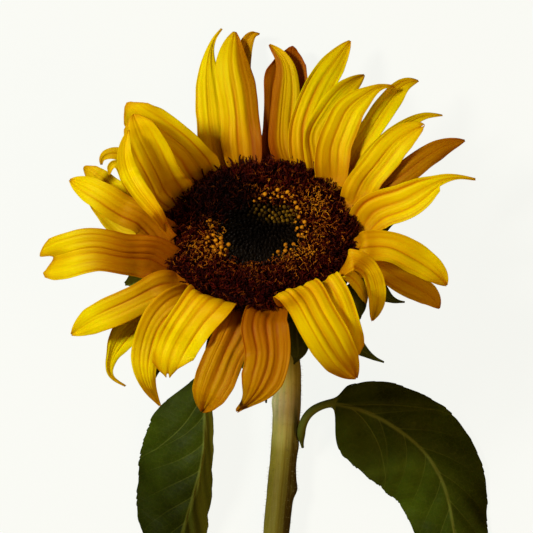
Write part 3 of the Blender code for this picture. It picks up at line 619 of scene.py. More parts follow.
def stem_material():
    m, t, b = nodes_of("stem_green")
    n = Net(t)
    co = n.add("ShaderNodeTexCoord").outputs["Object"]
    s = n.add("ShaderNodeSeparateXYZ")
    n.link(co, s.inputs[0])
    along = n.combine(n.math("MULTIPLY", s.outputs[0], 900), n.math("MULTIPLY", s.outputs[1], 26), n.math("MULTIPLY", s.outputs[2], 900))
    fibres = n.noise(1.0, 4, .6, along)
    speck = n.noise(520, 3, .6, co)
    where = n.attr("along")
    # colour down the stem: dark green at the head, a painted highlight band about a quarter of the way down, then
    # darker and browner
    c = n.ramp(where, [(0, (.10, .13, .014)), (.13, (.12, .14, .012)), (.17, (.24, .26, .02)), (.20, (.50, .50, .09)),
                       (.232, (.92, .91, .28)), (.262, (1.0, .99, .56)), (.292, (.58, .55, .15)), (.325, (.235, .205, .022)), (.365, (.155, .130, .010)), (.425, (.165, .145, .013)), (.52, (.28, .27, .045)), (1, (.26, .26, .045))])
    # painted shade down the stem's right side, and faint painted shade at its left edge
    c = n.mix(n.ramp(n.attr("painted_side_shade"), [(0, (.10, .10, .10)), (.18, (0, 0, 0)), (.45, (0, 0, 0)), (.80, (.85, .85, .85)), (1, (1, 1, 1))]), c, n.mix(1.0, c, (.36, .33, .20), "MULTIPLY"))
    c = n.mix(n.ramp(fibres, [(.35, (0, 0, 0)), (.7, (.6, .6, .6))]), c, n.mix(1.0, c, (.62, .70, .45), "MULTIPLY"))
    c = n.mix(n.ramp(speck, [(.55, (0, 0, 0)), (.75, (.5, .5, .5))]), c, n.mix(1.0, c, (.7, .66, .5), "MULTIPLY"))
    cut = n.attr("cut")
    c = n.mix(cut, c, n.ramp(speck, [(.3, (.52, .50, .30)), (.7, (.70, .69, .50))]))
    n.link(c, b.inputs["Base Color"])
    n.link(n.ramp(fibres, [(.3, (.5, .5, .5)), (.7, (.68, .68, .68))]), b.inputs["Roughness"])
    n.bump(n.math("ADD", fibres, n.math("MULTIPLY", speck, .5)), .45, .0004, b.inputs["Normal"])
    b.inputs["Subsurface Weight"].default_value = .15
    b.inputs["Subsurface Radius"].default_value = (.7, 1.0, .3)
    b.inputs["Subsurface Scale"].default_value = .0012
    b.inputs["Specular IOR Level"].default_value = .12
    b.inputs["Sheen Weight"].default_value = .03
    return m


def floret_material(name, stops, rough, bumpy=.3, scale=900, spec=.12):
    """Colour by each floret's own number, with a grain over it and the painted shadow of the dim attribute."""
    m, t, b = nodes_of(name)
    n = Net(t)
    co = n.add("ShaderNodeTexCoord").outputs["Object"]
    grain = n.noise(scale, 3, .6, co)
    c = n.ramp(n.attr("tint"), stops)
    # painted shadow: darker where the dim attribute says
    c = n.mix(n.attr("dim"), c, n.mix(1.0, c, (.10, .07, .07), "MULTIPLY"))
    c = n.mix(n.ramp(grain, [(.35, (0, 0, 0)), (.7, (.6, .6, .6))]), c, n.mix(1.0, c, (.6, .5, .45), "MULTIPLY"))
    n.link(c, b.inputs["Base Color"])
    n.link(n.ramp(grain, [(.3, (rough - .08,)*3), (.7, (rough + .08,)*3)]), b.inputs["Roughness"])
    n.bump(grain, bumpy, .0003, b.inputs["Normal"])
    b.inputs["Specular IOR Level"].default_value = spec
    return m


PETAL = petal_material()
LEAF = leaf_material("leaf_green", (.020, .031, .0012), (.050, .080, .0030), (.150, .185, .028), .5)
BRACT = leaf_material("bract_green", (.032, .048, .003), (.085, .110, .012), (.22, .25, .06), .55)
STEM = stem_material()
HAIR = floret_material("plant_hair", [(0, (.30, .30, .10)), (1, (.46, .44, .19))], .5)
COROLLA = floret_material("corolla_maroon", [(0, (.020, .0010, .0008)), (.5, (.072, .0035, .0018)), (.85, (.15, .010, .003)), (1, (.26, .045, .005))], .6, spec=.06)
STIGMA = floret_material("stigma_gold", [(0, (.08, .007, .002)), (.35, (.22, .040, .003)), (.65, (.60, .18, .006)), (1, (.98, .42, .015))], .5, spec=.06)
BEAD = floret_material("pollen_bead", [(0, (.15, .036, .002)), (.5, (.45, .15, .004)), (1, (.74, .32, .008))], .6, spec=.06)
BUD = floret_material("closed_bud", [(0, (.0040, .0022, .0016)), (.45, (.0090, .0058, .0028)), (.75, (.085, .048, .004)), (1, (.34, .19, .012))], .5, spec=.07)
SPIKE = floret_material("chaff_dark", [(0, (.014, .0012, .0008)), (1, (.075, .008, .002))], .5, spec=.06)


def worn(obj, mat, slot, *nodes):
    obj.data.materials.clear()
    obj.data.materials.append(mat)
    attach(obj, "root")
    if nodes:
        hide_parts(*nodes)
    return obj


# --------------------------------------------------------------------- petals
LOOKS = {
    # where a petal differs: how much painted shade browns it, overall, at the base, on one side and at the tip (at the
    # tip partly the petal's own browning), how far its middle stands out, its tip
    "back_top": {"shade": .60}, "back_top_wide": {"shade": 1.0, "swell": .45, "swing": (-.8, 0)}, "top_shaded": {"shade": .35, "shade_left": .95, "arch": 1.2, "swell": -.22, "swing": (-.6, 0)},
    "top_tall": {"arch": 2.6, "shade": .15, "shade_right": .85}, "top_left_long": {"arch": 1.2},
    "back_right_dark": {"shade": .85, "arch": 1.2}, "back_right_lower": {"shade": .55}, "bottom_dark": {"shade": .72, "arch": 1.0, "depth": .75, "pleats": 5.2, "shade_left": .85},
    "back_left_hook": {"shade": .45}, "upper_left_broad": {"shade_base": .35, "depth": .5, "arch": -1.0, "swing": (-3.2, .5), "swell": .14}, "upper_left_fold": {"shade": .0, "shade_tip": .0, "swing": (-5.2, .6), "swell": .20},
    "bottom_wide": {"shade": .80, "arch": 1.6, "depth": .62, "pleats": 4.6, "shade_right": .80}, "lower_right_hanging": {"shade": .0, "shade_base": .15, "foot": .7, "sink": 2.8}, "back_lower_left_curl": {"shade": .05},
    "right_slender": {"shade_left": .0, "arch": -.6}, "upper_right_tucked": {"shade_tip": .5}, "back_right_curl": {"shade": .1},
    "right_upper_broad": {"shade_tip": .4}, "upper_right_tall": {"shade_tip": .2, "arch": .5},
    "right_pointed": {"bite": (1, .70, .50), "shade_tip": .35}, "right_broad": {"tip": ((-1, .98), (-.2, 1), (.08, .955), (.35, 1), (1, .96))},
    "left_broad": {"tip": ((-1, .985), (-.7, 1), (-.3, .955), (.05, .90), (.16, .885), (.27, .94), (.42, .995), (.62, .985), (.82, .945), (1, .86)), "swell": .06, "pleats": 6.5, "sink": 2.6, "tuck": 4.5, "arch": 1.6, "shade_base": .85, "shade_tip": .35, "depth": .55},
    "bottom_left_broad": {"sink": 2.2, "tip": ((-1, .66), (-.7, .80), (-.38, .93), (-.16, 1), (-.04, .965), (.10, .93), (.24, .97), (.38, 1.0), (.6, .95), (1, .84)), "foot": .5, "depth": .5},
    "left_long": {"sink": 2.6, "tuck": 4.5, "arch": 1.2, "shade_base": .75, "depth": .5}, "lower_left_long": {"arch": 1.4, "shade_base": .45}, "back_left_lower": {"shade": .4}, "left_narrow": {"shade": .05, "foot": -.1, "sink": 4.2, "tuck": .4},
    "lower_left_arched": {"arch": .8, "foot": .6, "shade_base": .3}, "lower_right_broad": {"foot": .35, "sink": 1.8, "depth": .55, "shade_base": .3},
    "bottom_right_long": {"arch": 1.8, "foot": .45, "sink": 2.6, "shade_base": .0, "shade_tip": .9, "depth": .5}, "bottom_right_lobe": {"foot": .3, "arch": .6, "shade_tip": .5},
    "left_strip": {"shade_base": .5}, "back_left_blunt": {"shade": .25},
}


def fine_petal(spec, coarse, seed):
    name, angle, row, width, shape, points, options = spec
    rng = np.random.default_rng(1000 + seed)
    look = LOOKS.get(name, {})
    slim = width < 6
    rows, cols = (90, 25) if slim else (170, 81)
    g = refine(coarse, rows, cols)
    u = np.linspace(0, 1, rows)[:, None]
    v = np.linspace(-1, 1, cols)[None, :]
    one_row = np.ones((1, cols))
    # the foot is as wide as its neighbours leave room for, and is tucked in
    mid = g[:, cols//2:cols//2 + 1]
    foot = 1 - smooth(u/.42)
    g = mid + (g - mid)*((1 + look.get("foot", .55)*foot)*(1 - .62*(1 - smooth(u/.055))**1.5))[..., None]
    inward = g[0, cols//2] - HEAD
    inward = inward - (inward @ AXIS)*AXIS
    inward /= np.linalg.norm(inward)
    g = g - inward*(look.get("tuck", 2.6)*(1 - smooth(u/.26)))[..., None] - AXIS*(look.get("sink", 1.2)*(1 - smooth(u/.20)))[..., None]
    if "tip" in look or shape in ("round", "blunt"):
        tv, te = np.array(look.get("tip", ((-1, .90), (-.8, .95), (-.5, .987), (0, 1), (.5, .987), (.8, .95), (1, .90)))).T
        share = np.interp(v[0], tv, te)
        share = np.convolve(np.pad(share, 3, mode="edge"), np.ones(7)/7, mode="valid")
        at = u*(1 - (1 - share[None])*smooth((u - .5)/.5))*(rows - 1)
        i = np.clip(at.astype(int), 0, rows - 2)
        w = (at - i)[..., None]
        j = np.broadcast_to(np.arange(cols), i.shape)
        g = g[i, j]*(1 - w) + g[i + 1, j]*w
    if "swing" in look:
        g = g + np.array((*look["swing"], 0.0))*(smooth((u - .3)/.7)*one_row)[..., None]
    if "swell" in look:
        mid = g[:, cols//2:cols//2 + 1]
        g = mid + (g - mid)*(1 + look["swell"]*smooth((u - .45)/.4)*one_row)[..., None]
    if "bite" in look:
        sign, where, keep = look["bite"]
        mid = g[:, cols//2:cols//2 + 1]
        cut = 1 - (1 - keep)*smooth((u - where)/.02)*(v*sign > 0)*(1 - smooth((u - .90)/.1))
        g = mid + (g - mid)*cut[..., None]
    n = normals(g)
    # pleats: rounded ridges with narrow creases between, never quite even
    pleats = look.get("pleats", max(1.6, width/4.1))
    depth = look.get("depth", .42 if not slim else .16)
    warp = v + .13*wander(seed, v*.5 + .5) + .022*np.sin(2*math.pi*(u*.9 + rng.random()))*(1 - v*v)
    phase = rng.random()*math.pi
    ridge = np.sqrt(np.sin(math.pi*pleats*warp/2 + phase)**2 + .012)*2 - 1.27
    wide = np.cos(math.pi*warp*1.4 + phase*1.7)
    small = np.sin(math.pi*pleats*warp*2.3 + 3*phase)
    share = np.clip(.62 + .55*wander(seed + 7, v*.9 + .25*u), .08, 1.25)
    along = smooth(u/.22)*(1 - .80*smooth((u - .45)/.5))
    hill = (.85*ridge*share + .10*small)*along
    crease = np.exp(-(v/.09)**2)*smooth(u/.1)*.35
    lift = depth*(hill + .75*wide*smooth(u/.2)*(1 - .4*u) - crease)*(1 - .3*np.abs(v)**3)
    lift = lift + look.get("arch", 0)*(1 - v**2)*smooth((u - .08)/.3)*(1 - smooth((u - .75)/.25))
    edge = np.abs(v)**3*look.get("wave", .6)*wander(seed + 3, u*1.3 + (v > 0)*.37, ((1, 1), (2.3, .6), (4.1, .2)))*smooth(u/.2)
    g = g + n*(lift + edge)[..., None]
    n = normals(g)
    thick = .16*(1 - .35*np.abs(v)**4)*(1 - .3*u) + .02
    top, low = g + n*thick[..., None], g - n*thick[..., None]
    verts, faces = sheet_mesh(top, low)
    one = np.ones((rows, cols))
    tone = one*rng.random()
    span = np.linalg.norm(g[:, -1] - g[:, 0], axis=1)[:, None]
    blade_uv = np.stack([u*one, v*(.3 + .7*span/span.max()), tone], -1)
    # painted shade in the pleats' creases and along the middle crease
    painted_crease_shade = np.clip(-.2 - ridge, 0, 1)*share*along + crease*.6
    # painted shade: overall, at the base, on one side and at the tip; at the tip partly the petal's own browning
    shade = one*look.get("shade", 0.0)
    if "shade_base" in look:
        shade = np.maximum(shade, look["shade_base"]*(1 - smooth((u - .40)/.40)))
    if "shade_right" in look:
        shade = np.maximum(shade, look["shade_right"]*smooth((v - .05)/.5))
    if "shade_left" in look:
        shade = np.maximum(shade, look["shade_left"]*(1 - smooth((v + .75 - .25*u)/.6)))
    shade = np.maximum(shade, look.get("shade_tip", .12)*smooth((u - .62)/.3)*(.55 + .45*wander(seed + 21, v*.8 + .3)))
    both = lambda a: np.concatenate([a.reshape(rows*cols, -1), a.reshape(rows*cols, -1)])
    obj = new_mesh("petal_%s_skin" % name, verts, faces, {
        "blade": both(blade_uv), "painted_crease_shade": both(painted_crease_shade).ravel(), "shade": both(shade).ravel()})
    return worn(obj, PETAL, "petal", "petal_" + name)


laid = Heights()
for k, (angle, width, points) in enumerate(BRACTS):
    laid.add(bract_grid(angle, width, points, 9, 4))

for k, spec in enumerate(PETALS):
    coarse = laid_over(petal_grid(spec, 25, 7), laid, PETAL_THICK + CLEAR)
    laid.add(coarse)
    fine_petal(spec, coarse, k)


# --------------------------------------------------------------------- bracts
def fine_bract(k, angle, width, points):
    rows, cols = 70, 21
    coarse = bract_grid(angle, width, points, 17, 7)
    g = refine(coarse, rows, cols)
    if k == 9:
        mid = g[:, cols//2:cols//2 + 1]
        g = mid + (g - mid)*1.6
    n = normals(g)
    u = np.linspace(0, 1, rows)[:, None]
    v = np.linspace(-1, 1, cols)[None, :]
    rng = np.random.default_rng(500 + k)
    rib = np.exp(-(v/.10)**2) + .5*np.exp(-((np.abs(v) - .45)/.09)**2)
    g = g + n*(.18*rib*(1 - u) + .25*wander(500 + k, u*1.3 + v*.3)*smooth(u/.2))[..., None]
    n = normals(g)
    thick = (.28*(1 - .5*np.abs(v)**3)*(1 - .5*u) + .03)[..., None]
    verts, faces = sheet_mesh(g + n*thick, g - n*thick)
    one = np.ones((rows, cols))
    veins = .6*rib*(1 - .6*u)*one
    both = lambda a, b: np.concatenate([a.ravel(), b.ravel()])
    # bract 10 is paler: partly its own paler green, partly painted light where the petals shade it
    obj = new_mesh("bract_%02d_skin" % (k + 1), verts, faces, {"veins": both(veins, veins), "under": both(one*0, one), "pale": both(one, one)*(1.0 if k == 9 else 0.0), "browner": both(one, one)*0.0})
    worn(obj, BRACT, "bract", "bract_%02d" % (k + 1))
    return g, n


bract_skins = [fine_bract(k, *b) for k, b in enumerate(BRACTS)]


# ----------------------------------------------------------------------- stem
def frames_along(c):
    t = np.gradient(c, axis=0)
    t /= np.linalg.norm(t, axis=1)[:, None]
    a = np.zeros_like(c)
    q = EAST - (EAST @ t[0])*t[0]
    for i in range(len(c)):
        q = q - (q @ t[i])*t[i]
        q /= np.linalg.norm(q)
        a[i] = q
    return t, a, np.cross(t, a)


line, radii = neck_path()
line = np.array(line)
radii = np.array(radii)
step = np.concatenate([[0], np.cumsum(np.linalg.norm(np.diff(line, axis=0), axis=1))])
at = np.concatenate([np.linspace(0, 45, 90, endpoint=False), np.linspace(45, step[-1], 420)])
stem_c = np.stack([np.interp(at, step, line[:, q]) for q in range(3)], 1)
k5 = np.ones(9)/9
for q in range(3):
    stem_c[4:-4, q] = np.convolve(stem_c[:, q], k5, mode="valid")
stem_r = np.interp(at, step, radii)
stem_t, stem_a, stem_b = frames_along(stem_c)
SIDES = 96
th = np.linspace(0, 2*math.pi, SIDES, endpoint=False)[None, :]
s = (at/at[-1])[:, None]
neck = smooth((at[:, None] - 24)/14)
ribs = .020*np.cos(11*th + 1.2*np.sin(s*5))*neck + .012*np.cos(29*th + 2*s)*neck
lumps = .035*wander(41, s*9 + .35*np.sin(th), ((1, 1), (2.3, .7), (5.1, .5)))*neck
head_ribs = .012*np.cos(34*th)*(1 - neck)
r = stem_r[:, None]*(1 + ribs + .7*lumps + head_ribs) + 2.6*(1 - smooth((at[:, None] - 5)/9))
# a scar where an older leaf broke off, and the swelling under each stalk
for y, deg, size, reach in ((-97.0, 10, .55, 2.6), (-80.5, 12, .5, 2.6), (-64.0, 175, .5, 2.6), (-252*UNIT, 8, .85, 4.2), (-178.0, 80, .45, 2.6)):
    i = np.argmin(np.abs(stem_c[:, 1] - y))
    d = (at[:, None] - at[i])/reach
    w = np.angle(np.exp(1j*(th - math.radians(deg))))/.5
    r = r + size*np.exp(-d**2 - w**2)
stem_n = stem_a[:, None]*np.cos(th)[..., None] + stem_b[:, None]*np.sin(th)[..., None]
skin = stem_c[:, None] + stem_n*r[..., None]
skin[..., 2] = np.maximum(skin[..., 2], .2)
n_rings = len(at)
verts = skin.reshape(-1, 3)
i = np.arange(n_rings*SIDES).reshape(n_rings, SIDES)
j = np.roll(i, -1, axis=1)
faces = np.stack([i[:-1], j[:-1], j[1:], i[1:]], -1).reshape(-1, 4)
# closed ends, each a few rings in towards the middle
extra, extra_faces, cut = [], [], [np.zeros(len(verts))]
count = len(verts)
for end, sign in ((0, 1), (n_rings - 1, -1)):
    last = i[end]
    for f in (.93, .8, .6, .35, .12):
        ring = stem_c[end] + (skin[end] - stem_c[end])*f
        if end:
            ring = ring - stem_t[end]*(.5*(1 - f))
        extra.append(ring)
        idx = np.arange(count, count + SIDES)
        count += SIDES
        a, b2 = last, np.roll(last, -1)
        c2, d2 = idx, np.roll(idx, -1)
        extra_faces.append(np.stack([a, c2, d2, b2] if sign > 0 else [a, b2, d2, c2], -1))
        cut.append(np.full(SIDES, 1.0 if end else 0.0))
        last = idx
    h = SIDES//2
    w = np.arange(h - 1)
    cap = np.stack([last[w], last[w+1], last[SIDES-2-w], last[SIDES-1-w]], -1)
    extra_faces.append(cap[:, ::-1] if sign > 0 else cap)
verts = np.concatenate([verts] + extra)
faces = np.concatenate([faces] + extra_faces)
along_attr = np.concatenate([np.repeat(at/at[-1], SIDES), np.zeros(SIDES*5), np.ones(SIDES*5)])
# painted shade by side: 1 on the stem's right (east) side, 0 on its left; the end caps take .3
side_shade_all = np.clip(.5 + .5*(stem_n @ EAST), 0, 1).ravel()
side_shade_all = np.concatenate([side_shade_all, np.full(SIDES*10, .3)])
stem = new_mesh("stem_skin", verts, faces, {"along": along_attr, "cut": np.concatenate(cut), "painted_side_shade": side_shade_all})
worn(stem, STEM, "stem", "stem")


def hairs(name, roots, out, length, radius, seed, lean=None, slot="stem"):
    """Short tapered bristles, each a three-sided spike in two steps."""
    rng = np.random.default_rng(seed)
    m = len(roots)
    a = np.cross(out, rng.normal(size=(m, 3)))
    a /= np.linalg.norm(a, axis=1)[:, None]
    b = np.cross(out, a)
    ln = length*(.6 + .7*rng.random(m))[:, None]
    bend = a*ln*.35*rng.random((m, 1))
    if lean is not None:
        bend = bend + lean*ln*.4
    rings = []
    for f, w in ((-.12, 1.0), (.5, .6)):
        c = roots + out*ln*f + bend*max(f, 0)**2
        for k in range(3):
            ang = 2*math.pi*k/3
            rings.append(c + (a*math.cos(ang) + b*math.sin(ang))*radius*w)
    tip = roots + out*ln + bend
    verts = np.stack(rings + [tip], 1).reshape(-1, 3)
    o = (np.arange(m)*7)[:, None]
    tris = []
    for k in range(3):
        k2 = (k + 1) % 3
        tris += [o + np.array([k, k2, 3 + k2]), o + np.array([k, 3 + k2, 3 + k]), o + np.array([3 + k, 3 + k2, 6])]
    tris.append(o + np.array([0, 2, 1]))
    faces = np.concatenate(tris)
    obj = new_mesh(name, verts, faces, {"tint": np.repeat(rng.random(m), 7), "dim": np.zeros(7*m)})
    return worn(obj, HAIR, slot)


rng = np.random.default_rng(77)
pick_i = rng.integers(95, n_rings - 4, 3000)
pick_j = rng.integers(0, SIDES, 3000)
root = skin[pick_i, pick_j]
keep = root[:, 2] > 1.2
hairs("stem_bristles", root[keep], stem_n[pick_i, pick_j][keep], 1.0, .045, 78)


# --------------------------------------------------------------------- leaves
def side_vein(u, a, k, start, gap, rise):
    """Distance along the leaf from the k-th side vein, at a share a out."""
    return u - (start + gap*k + rise*a**.85)


def fine_leaf(name, stations, seed, darkening_and_painted_light):
    p = np.array([[x*UNIT, y*UNIT, z, a, b, da, db, t] for x, y, z, a, b, da, db, t in stations])
    rings, cols = 400, 121
    q = through(p, rings)
    c = q[:, :3]
    t = np.gradient(c, axis=0)
    t /= np.linalg.norm(t, axis=1)[:, None]
    side = np.cross(t, UP)
    side /= np.linalg.norm(side, axis=1)[:, None]
    left, right, dl, dr, th = (np.clip(q[:, 3+k], lo, None) for k, lo in enumerate((.5, .5, 0, 0, .8)))
    length = np.concatenate([[0], np.cumsum(np.linalg.norm(np.diff(c, axis=0), axis=1))])
    slim = .35 + .65*smooth(length/6.5)
    left, right, th = left*slim, right*slim, th*slim
    wide = np.maximum(left, right)
    start = length[np.argmax(wide > 3.0)]
    u = np.clip((length - start)/(length[-1] - start), 0, 1)[:, None]
    blade_on = smooth((wide - 1.8)/4.0)[:, None]
    v = np.linspace(-1, 1, cols)[None, :]
    a = np.abs(v)
    half = np.where(v > 0, right[:, None], left[:, None])
    drop = np.where(v > 0, dr[:, None], dl[:, None])
    # fine teeth along the edge
    teeth = np.mod(length[:, None]/3.6 + .30*np.sin(length[:, None]*.7) + .2*np.sin(length[:, None]*.23), 1)
    teeth = (1 - teeth)**1.4
    half_t = half*(1 - blade_on*a**14*(.030*teeth*(.5 + .5*wander(seed + 9, length[:, None]/17))**1.0 + .012*wander(seed, length[:, None]/31)))
    wavy = blade_on*(.55*a**2*wander(seed + 1, u*2.2 + .4*(v > 0)) + .35*a**4*wander(seed + 2, u*5 + .3*(v > 0)))
    mid = c[:, None] + side[:, None]*(half_t*v)[..., None] - UP*(drop*1.07*a**1.6)[..., None]
    slope = side[:, None]*half[..., None] - UP*(drop*1.07*1.6*a**.6*np.sign(v + 1e-9))[..., None]
    face = np.cross(slope, t[:, None])
    face /= np.linalg.norm(face, axis=2)[..., None]
    # veins: the midrib, a strong pair from the foot, and the side veins
    veins = np.exp(-(v*half/(.75 - .4*u))**2)*1.0
    quilt = np.zeros_like(veins)
    L = length[-1] - start
    for k in range(8):
        for sgn in (1, -1):
            on = (np.sign(v) == sgn)*1.0
            rise = .36 if k == 0 else .22
            d = side_vein(u, a, k + (.3 if sgn > 0 else 0), .015, .115, rise)*L
            w = (.42 if k == 0 else .30)*(1 - .5*a)
            veins = veins + on*np.exp(-(d/w)**2)*((.85 if k == 0 else .55) - .3*a)*(a > .01)
            quilt = quilt + on*np.exp(-(d/3.0)**2)
    veins = np.clip(veins, 0, 1)*blade_on
    puff = (.45*(1 - np.clip(quilt, 0, 1)) - .16*veins)*blade_on*(1 - .6*a**6)
    fine = (.05*wander(seed + 5, length[:, None]/6.3 + v*1.2, ((1, 1), (2.7, .7), (5.9, .4))) + .5*wander(seed + 8, length[:, None]/47 + v*.6, ((1, 1), (2.1, .5))))*blade_on
    mid = mid + face*(puff + fine + wavy)[..., None]
    thin = (.30 + .9*np.exp(-(v*half/1.2)**2)*(1 - u))*.5
    round_h = th[:, None]/2*np.sqrt(np.clip(1 - v*v, 0, 1))
    h = round_h*(1 - blade_on) + thin*blade_on
    top = mid + face*h[..., None]*np.where(blade_on > .5, .6, 1)[..., None]
    low = mid - face*h[..., None]
    top[..., 2] = np.maximum(top[..., 2], .45)
    low[..., 2] = np.maximum(low[..., 2], .25)
    verts, faces = sheet_mesh(top, low)
    one = np.ones_like(veins)
    both = lambda x, y: np.concatenate([x.ravel(), y.ravel()])
    stalk = 1 - blade_on*one
    # darker and browner towards the tip, on one side, in loose patches, and at the stalk's foot
    browner = (darkening_and_painted_light[0]*smooth((u - .30)/.30) + .25*wander(seed + 31, u*2 + v*.4)*blade_on + darkening_and_painted_light[1]*np.clip(v*darkening_and_painted_light[2], 0, 1))*one
    # painted light: a paler strip along one side of the leaf's fold, fading out towards the tip
    light = (darkening_and_painted_light[3]*np.clip(v*darkening_and_painted_light[4], 0, 1)**.5*smooth(u/.1)*(1 - smooth((u - darkening_and_painted_light[5])/.35))*(.6 + .4*wander(seed + 77, u*3 + v*.7)))*one*blade_on
    light = np.clip(light, 0, 1)
    stem_end = 1 - smooth(length[:, None]/14)
    browner = np.maximum(browner, stem_end*one)
    obj = new_mesh(name + "_skin", verts, faces, {
        "veins": both(np.maximum(veins, stalk*.8), np.maximum(veins, stalk*.8)), "under": both(one*0, one), "pale": both(light, light),
        "browner": np.clip(both(browner, browner), 0, 1)})
    worn(obj, LEAF, "leaf", name)
    return top, face, blade_on


for k, (name, stations) in enumerate(LEAVES.items()):
    fine_leaf(name, stations, 60 + 10*k, ((.30, .0, 1, .06, 1, .25), (.75, .32, 1, .55, -1, .95))[k])


# ----------------------------------------------------------------------- disc
def disc_height(r):
    """Height of the florets' tips along AXIS, by radius."""
    return np.interp(r, [0, 5, 10, 14, 17, 21, 26, 31, 34.5, 37], [-2.4, -2.2, -1.2, .3, 1.6, 2.9, 3.6, 3.4, 2.0, .4])


def disc_normal(r, ang):
    e = .2
    dh = (disc_height(r + e) - disc_height(np.maximum(r - e, 0)))/(2*e)
    rad = np.cos(ang)[:, None]*EAST + np.sin(ang)[:, None]*NORTH
    n = AXIS[None] - rad*dh[:, None]*.8
    return n/np.linalg.norm(n, axis=1)[:, None], rad


def spread(template_verts, template_faces, places, axes, spin, scale, tint, name, mat, slot, extra=None, dim=None):
    """Copies of one small shape, its +Z turned to each axis, as one mesh."""
    m = len(places)
    ref = np.where(np.abs(axes[:, 2:3]) < .9, UP[None], np.array([[1.0, 0, 0]]))
    x = np.cross(ref, axes)
    x /= np.linalg.norm(x, axis=1)[:, None]
    y = np.cross(axes, x)
    ca, sa = np.cos(spin)[:, None], np.sin(spin)[:, None]
    x, y = x*ca + y*sa, y*ca - x*sa
    tv = np.asarray(template_verts)
    if tv.ndim == 2:
        tv = np.repeat(tv[None], m, axis=0)
    s = np.asarray(scale)
    s = s[:, None, None] if s.ndim == 1 else s[:, None, :]
    tv = tv*s
    pts = (places[:, None] + x[:, None]*tv[..., 0:1] + y[:, None]*tv[..., 1:2] + axes[:, None]*tv[..., 2:3])
    f = np.asarray(template_faces)
    faces = (f[None] + (np.arange(m)*tv.shape[1])[:, None, None]).reshape(-1, f.shape[1])
    t = np.repeat(np.asarray(tint), tv.shape[1]) if np.ndim(tint) == 1 else np.asarray(tint).ravel()
    dark = np.zeros(len(t)) if dim is None else np.repeat(np.asarray(dim), tv.shape[1])
    obj = new_mesh(name, pts.reshape(-1, 3), faces, {"tint": t, "dim": dark})
    return worn(obj, mat, slot, *(extra or ()))


def lathe(profile, sides, lobes=0, depth=0.0):
    """A small turned shape with an optional lobed rim, closed at both ends."""
    v, f = [], []
    for k, (r, z, lobe) in enumerate(profile):
        for q in range(sides):
            a = 2*math.pi*q/sides
            rr = r*(1 + depth*lobe*math.cos(lobes*a))
            v.append((rr*math.cos(a), rr*math.sin(a), z + lobe*depth*.5*r*math.cos(lobes*a)))
    n = len(profile)
    for k in range(n - 1):
        for q in range(sides):
            q2 = (q + 1) % sides
            f.append((k*sides + q, k*sides + q2, (k+1)*sides + q2, (k+1)*sides + q))
    h = sides//2
    for ring, flip in ((0, True), (n - 1, False)):
        o = ring*sides
        for w in range(h - 1):
            face = (o + w, o + w + 1, o + sides - 2 - w, o + sides - 1 - w)
            f.append(face[::-1] if flip else face)
    return np.array(v), np.array(f)


def strand(points, radius, sides=4):
    """A tapered thread through a few points, closed, as verts and quads."""
    p = through(points, 9)
    t = np.gradient(p, axis=0)
    t /= np.linalg.norm(t, axis=1)[:, None]
    q = np.cross(t[0], (.3, .5, .8))
    v = []
    for i in range(len(p)):
        q = q - (q @ t[i])*t[i]
        q /= np.linalg.norm(q)
        b = np.cross(t[i], q)
        w = radius*(1 - .55*(i/(len(p) - 1))**2)
        for k in range(sides):
            a = 2*math.pi*k/sides
            v.append(p[i] + (q*math.cos(a) + b*math.sin(a))*w)
    f = []
    for i in range(len(p) - 1):
        for k in range(sides):
            k2 = (k + 1) % sides
            f.append((i*sides + k, i*sides + k2, (i+1)*sides + k2, (i+1)*sides + k))
    for o, flip in ((0, True), ((len(p) - 1)*sides, False)):
        for w in range(sides//2 - 1):
            face = (o + w, o + w + 1, o + sides - 2 - w, o + sides - 1 - w)
            f.append(face[::-1] if flip else face)
    return np.array(v), np.array(f)


GOLDEN = math.pi*(3 - math.sqrt(5))
rng = np.random.default_rng(11)
N_FLORETS = 1500
k = np.arange(N_FLORETS)
fr = 37.0*np.sqrt((k + .5)/N_FLORETS)
fa = k*GOLDEN + rng.normal(0, .012, N_FLORETS)
fr = fr + rng.normal(0, .12, N_FLORETS)
fn, frad = disc_normal(fr, fa)
base_at = HEAD + fr[:, None]*(np.cos(fa)[:, None]*EAST + np.sin(fa)[:, None]*NORTH)
tip_h = disc_height(fr)

ang = np.linspace(0, 2*math.pi, 120, endpoint=False)


def turned_skin(rows_r, rows_h, name, mat, slot, node, seed):
    g = (HEAD + rows_r[:, None, None]*(np.cos(ang)[None, :, None]*EAST + np.sin(ang)[None, :, None]*NORTH)
         + rows_h[:, None, None]*AXIS)
    n = len(rows_r)
    i = np.arange(n*len(ang)).reshape(n, -1)
    j = np.roll(i, -1, axis=1)
    f = np.stack([i[:-1], i[1:], j[1:], j[:-1]], -1).reshape(-1, 4)
    m = len(ang)
    w = np.arange(m//2 - 1)
    if rows_r[0] < 1:
        caps = [np.stack([w, w+1, m-2-w, m-1-w], -1),
                (np.stack([w, w+1, m-2-w, m-1-w], -1) + (n-1)*m)[:, ::-1]]
        f = np.concatenate([f] + caps)
    else:
        f = np.concatenate([f, np.stack([i[-1], i[0], j[0], j[-1]], -1)])
    # a bed under the florets, so that nothing shows between them, darkened by painted shade at half strength
    tint = np.random.default_rng(seed).random(n*m)*.3
    return worn(new_mesh(name, g.reshape(-1, 3), f, {"tint": tint, "dim": tint*0 + .5}), mat, slot, node)


r_in = np.linspace(.05, 16.9, 30)
turned_skin(np.concatenate([r_in, [16.95, .05]]), np.concatenate([disc_height(r_in) - 3.0, [-4.2, -4.2]]),
            "disc_centre_bed", BUD, "floret_bud", "disc_centre_buds", 5)
r_out = np.linspace(17.1, 35.4, 34)
turned_skin(np.concatenate([r_out, [35.0, 33.4, 17.1]]), np.concatenate([disc_height(r_out) - 3.0, [-3.0, -4.2, -4.2]]),
            "disc_floret_bed", COROLLA, "open_floret", "disc_open_florets", 6)

